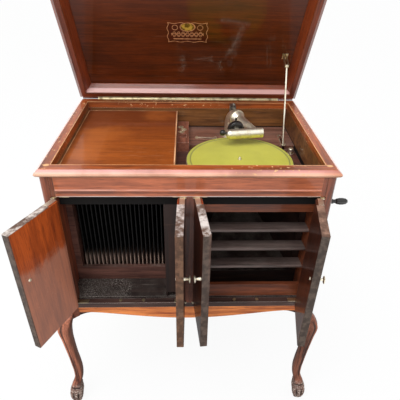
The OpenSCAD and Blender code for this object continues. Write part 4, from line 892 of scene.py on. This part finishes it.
# %% Pieces from grids
def make_piece(name, grids, material, body, replaces=(), reliefs=()):
    """One object from grids of shape (rows, columns, 3). reliefs holds a number for each point, above 0 on
    ridges and below 0 in hollows, which the material may read."""
    points, faces, count = [], [], 0
    for grid in grids:
        rows, columns = grid.shape[:2]
        points.append(np.concatenate([grid.reshape(-1, 3), [grid[0].mean(axis=0), grid[-1].mean(axis=0)]]))
        faces += tube_faces(rows, columns, count)
        count += rows * columns + 2
    mesh = bpy.data.meshes.new(name)
    mesh.from_pydata((np.concatenate(points) * 0.001 + np.array(MIDDLE)).tolist(), [], faces)
    mesh.polygons.foreach_set("use_smooth", np.ones(len(faces), dtype=bool))
    if reliefs:
        flat = np.concatenate([np.append(relief.ravel(), (0, 0)) for relief in reliefs])
        mesh.attributes.new("relief", "FLOAT", "POINT").data.foreach_set("value", flat.astype(np.float32))
    mesh.materials.append(material)
    mesh.update()
    piece = add_object(name, mesh)
    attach(piece, body)
    if replaces:
        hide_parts(*replaces)
    print(name, "has", len(faces), "faces")


# %% [markdown]
# ## Cabriole legs
# Each leg is a rounded square that slides along a curve on the corner's diagonal: wide at the knee, thin at
# the ankle, and wide again at the foot. A ridge runs down its outer corner between two hollows, and grooves
# part the foot into toes. Each station below gives a height as a share of the leg's, how far out the curve
# stands there, and the width. They are written from the knee, which laps the case, down to the floor, and
# then turned round, because a search needs rising heights.

# %% Stations of the leg's curve
LEG_H = 372.0
CORNER = np.array([363.5, 250.5])
STATIONS = np.array([
    [1.065, -10, 14], [1.05, -4, 24], [1.03, 3, 34], [1, 8.5, 40], [0.955, 13, 42], [0.92, 13.5, 40],
    [0.84, 12.8, 34.5], [0.72, 10.8, 31], [0.60, 8.4, 29], [0.47, 5.6, 29.5], [0.36, 4.4, 28.5],
    [0.265, 7.4, 27], [0.215, 12.9, 29], [0.175, 15.5, 36], [0.125, 18.5, 44], [0.06, 21, 41], [0.02, 21, 36],
    [0, 21, 32]])[::-1]
TOE_GROOVES = (-118, -70, -24, 24, 70, 118)
FOOT_ROWS, SHAFT_ROWS, LEG_COLUMNS = 44, 56, 72


def smooth_through(knots, values, at):
    """A cubic through the values, whose slope at each knot is that between its two neighbours."""
    slope = np.gradient(values, knots)
    i = np.clip(np.searchsorted(knots, at) - 1, 0, len(knots) - 2)
    gap = knots[i + 1] - knots[i]
    t = (at - knots[i]) / gap
    return ((2 * t**3 - 3 * t**2 + 1) * values[i] + (t**3 - 2 * t**2 + t) * slope[i] * gap
            + (3 * t**2 - 2 * t**3) * values[i + 1] + (t**3 - t**2) * slope[i + 1] * gap)


def bell(value, middle, width):
    """A bell of height 1 at the middle."""
    return np.exp(-((value - middle) / width) ** 2)


# %% Legs
def leg_grid(side_x, side_y):
    """r(h, a) = w(h) / 2 * (|cos a|^3 + |sin a|^3)^(-1/3), times one plus the ridge less the hollows and the
    grooves. Returns the points, and the height of the carving at each as the relief."""
    h = np.concatenate([np.linspace(0, 0.24, FOOT_ROWS), np.linspace(0.25, 1.065, SHAFT_ROWS)])[:, None]
    a = np.linspace(0, 2 * math.pi, LEG_COLUMNS, endpoint=False)[None, :]
    out = smooth_through(STATIONS[:, 0], STATIONS[:, 1], h)
    wide = smooth_through(STATIONS[:, 0], STATIONS[:, 2], h)
    turn = np.degrees((a - math.pi / 4 + math.pi) % (2 * math.pi) - math.pi)
    shaft = np.clip((h - 0.2) / 0.1, 0, 1) * np.clip((1.04 - h) / 0.06, 0, 1)
    ridge, hollow = shaft * bell(turn, 0, 7), shaft * (bell(turn, 21, 10) + bell(turn, -21, 10))
    groove = bell(h, 0.075, 0.062) * sum(bell(turn, middle, 8) for middle in TOE_GROOVES)
    shape = 1 + 0.06 * ridge - 0.10 * hollow - 0.26 * groove + 0.05 * bell(h, 0.19, 0.008)
    relief = ridge - hollow - groove - 0.8 * bell(h, 0.178, 0.01)
    r = wide / 2 * (np.abs(np.cos(a)) ** 3 + np.abs(np.sin(a)) ** 3) ** (-1 / 3) * shape
    x = side_x * (CORNER[0] + out + r * np.cos(a))
    y = side_y * (CORNER[1] + out + r * np.sin(a))
    grid = np.stack(np.broadcast_arrays(x, y, h * LEG_H), -1)
    return (grid, relief) if side_x * side_y > 0 else (grid[:, ::-1], relief[:, ::-1])


legs = [leg_grid(side_x, side_y) for side_x in (-1, 1) for side_y in (-1, 1)]
make_piece("cabriole_legs", [grid for grid, _ in legs], leg_wood, "cabinet", ["legs"],
           [relief for _, relief in legs])

# %% [markdown]
# ## Fillets at the hinge's ends
# The long hinge stops short of the corners. There a strip fills the groove behind the rim, and another the
# groove of the lid, so that no light shows through. With the lid shut, one lies just under the hinge's axis
# and the other just over it, so they never meet.

# %% Fillets
HINGE_END, RIM_END = 308.6, 359.0
AXIS = np.array([0.0, 255.0, 888.15])  # LID_HINGE in millimetres
RIM_SECTION = np.array([[0, -8.0, -0.35], [0, -0.2, -0.35], [0, 1.2, -6.6]])
LID_SECTION = RIM_SECTION[::-1] * np.array([1, 1, -1])


def prism(section, start, end):
    """A section in the plane x = 0, carried from one x to the other."""
    return section[None] + np.array([start, end])[:, None, None] * np.array([1.0, 0, 0])


def turned_about_axis(points, angle):
    """Points turned about the hinge's axis: y' = y cos a + z sin a, z' = z cos a - y sin a."""
    cos, sin = math.cos(angle), math.sin(angle)
    return points @ np.array([[1, 0, 0], [0, cos, -sin], [0, sin, cos]])


spans = ((-RIM_END, -HINGE_END), (HINGE_END, RIM_END))
make_piece("rim_back_fillets", [prism(RIM_SECTION, a, b) + AXIS for a, b in spans], side_wood, "cabinet")
make_piece("lid_back_fillets",
           [turned_about_axis(prism(LID_SECTION, a, b), LID_OPEN) + AXIS for a, b in spans],
           lid_rail_wood, "lid")

# %% [markdown]
# ## Floor and light
# The photograph was cut out onto white, so the floor is pale and the camera sees it lifted to white, with a
# trace of the object's soft shadow. Mirrored in the varnish, the floor is dimmed near the object and
# brightened far from it. The light is an overcast sky, a little brighter overhead, and one broad lamp.

# %% Floor
HALF_FLOOR = 30.0
floor_mesh = bpy.data.meshes.new("floor")
corners = [(x * HALF_FLOOR, y * HALF_FLOOR, 0) for x, y in ((-1, -1), (1, -1), (1, 1), (-1, 1))]
floor_mesh.from_pydata(corners, [], [(0, 1, 2, 3)])
floor = add_object("floor", floor_mesh)
print("a floor", 2 * HALF_FLOOR, "m wide")


# %% The floor's material
def seen_rays(tree):
    """1 for rays that show the backdrop, straight or by mirror or glass, and the mask of mirrored ones."""
    rays = put(tree, "LightPath").outputs
    mirrored = Value(rays["Is Glossy Ray"])
    return most(Value(rays["Is Camera Ray"]), mirrored, Value(rays["Is Transmission Ray"])), mirrored


pale, tree, principled = new_material("pale_floor")
tree.nodes.remove(principled)
seen, mirrored = seen_rays(tree)
shade = mixed(seen, (0.5, 0.49, 0.47, 1), (0.8, 0.8, 0.8, 1))
away = get(tree, "VectorMath", {0: object_place(tree)}, "Value", operation="LENGTH")
glow = mirrored * (away.step(0.6, 1.5) * 1.6 - 0.7) + 1.0
lift = put(tree, "MixShader", {"Fac": seen * 0.9, 1: get(tree, "BsdfDiffuse", {"Color": shade}),
                               2: get(tree, "Emission", {"Color": (1, 1, 1, 1), "Strength": glow})})
fill(tree.nodes["Material Output"], {"Surface": Value(lift.outputs[0])})
floor_mesh.materials.append(pale)
print("floor's material has", len(tree.nodes), "nodes")

# %% World and lamp
SKY_LOW, SKY_HIGH = 0.8, 1.15
LAMP_WIDE, LAMP_WATTS = 2.6, 75.0
LAMP_AT, LAMP_AIM = Vector((-1.1, -1.5, 3.6)), Vector((0.0, 0.0, 0.7))
world = bpy.data.worlds.new("overcast")
bpy.context.scene.world = world
world.use_nodes = True
tree = world.node_tree
seen, _ = seen_rays(tree)
height = xyz(get(tree, "TexCoord", output="Generated"))[2]
sky_light = height.step(-0.05, 0.9) * (SKY_HIGH - SKY_LOW) + SKY_LOW
fill(tree.nodes["Background"], {"Color": (0.98, 0.99, 1.0, 1), "Strength": (1.0 - seen) * sky_light + seen})

lamp = add_object("sky_lamp", bpy.data.lights.new("sky_lamp", "AREA"))
lamp.data.shape = "DISK"
lamp.data.size = LAMP_WIDE
lamp.data.energy = LAMP_WATTS
lamp.location = LAMP_AT
lamp.rotation_euler = (LAMP_AIM - LAMP_AT).to_track_quat("-Z", "Y").to_euler()
bpy.context.scene.view_settings.view_transform = "Standard"
print("lamp", lamp.data.energy, "W")
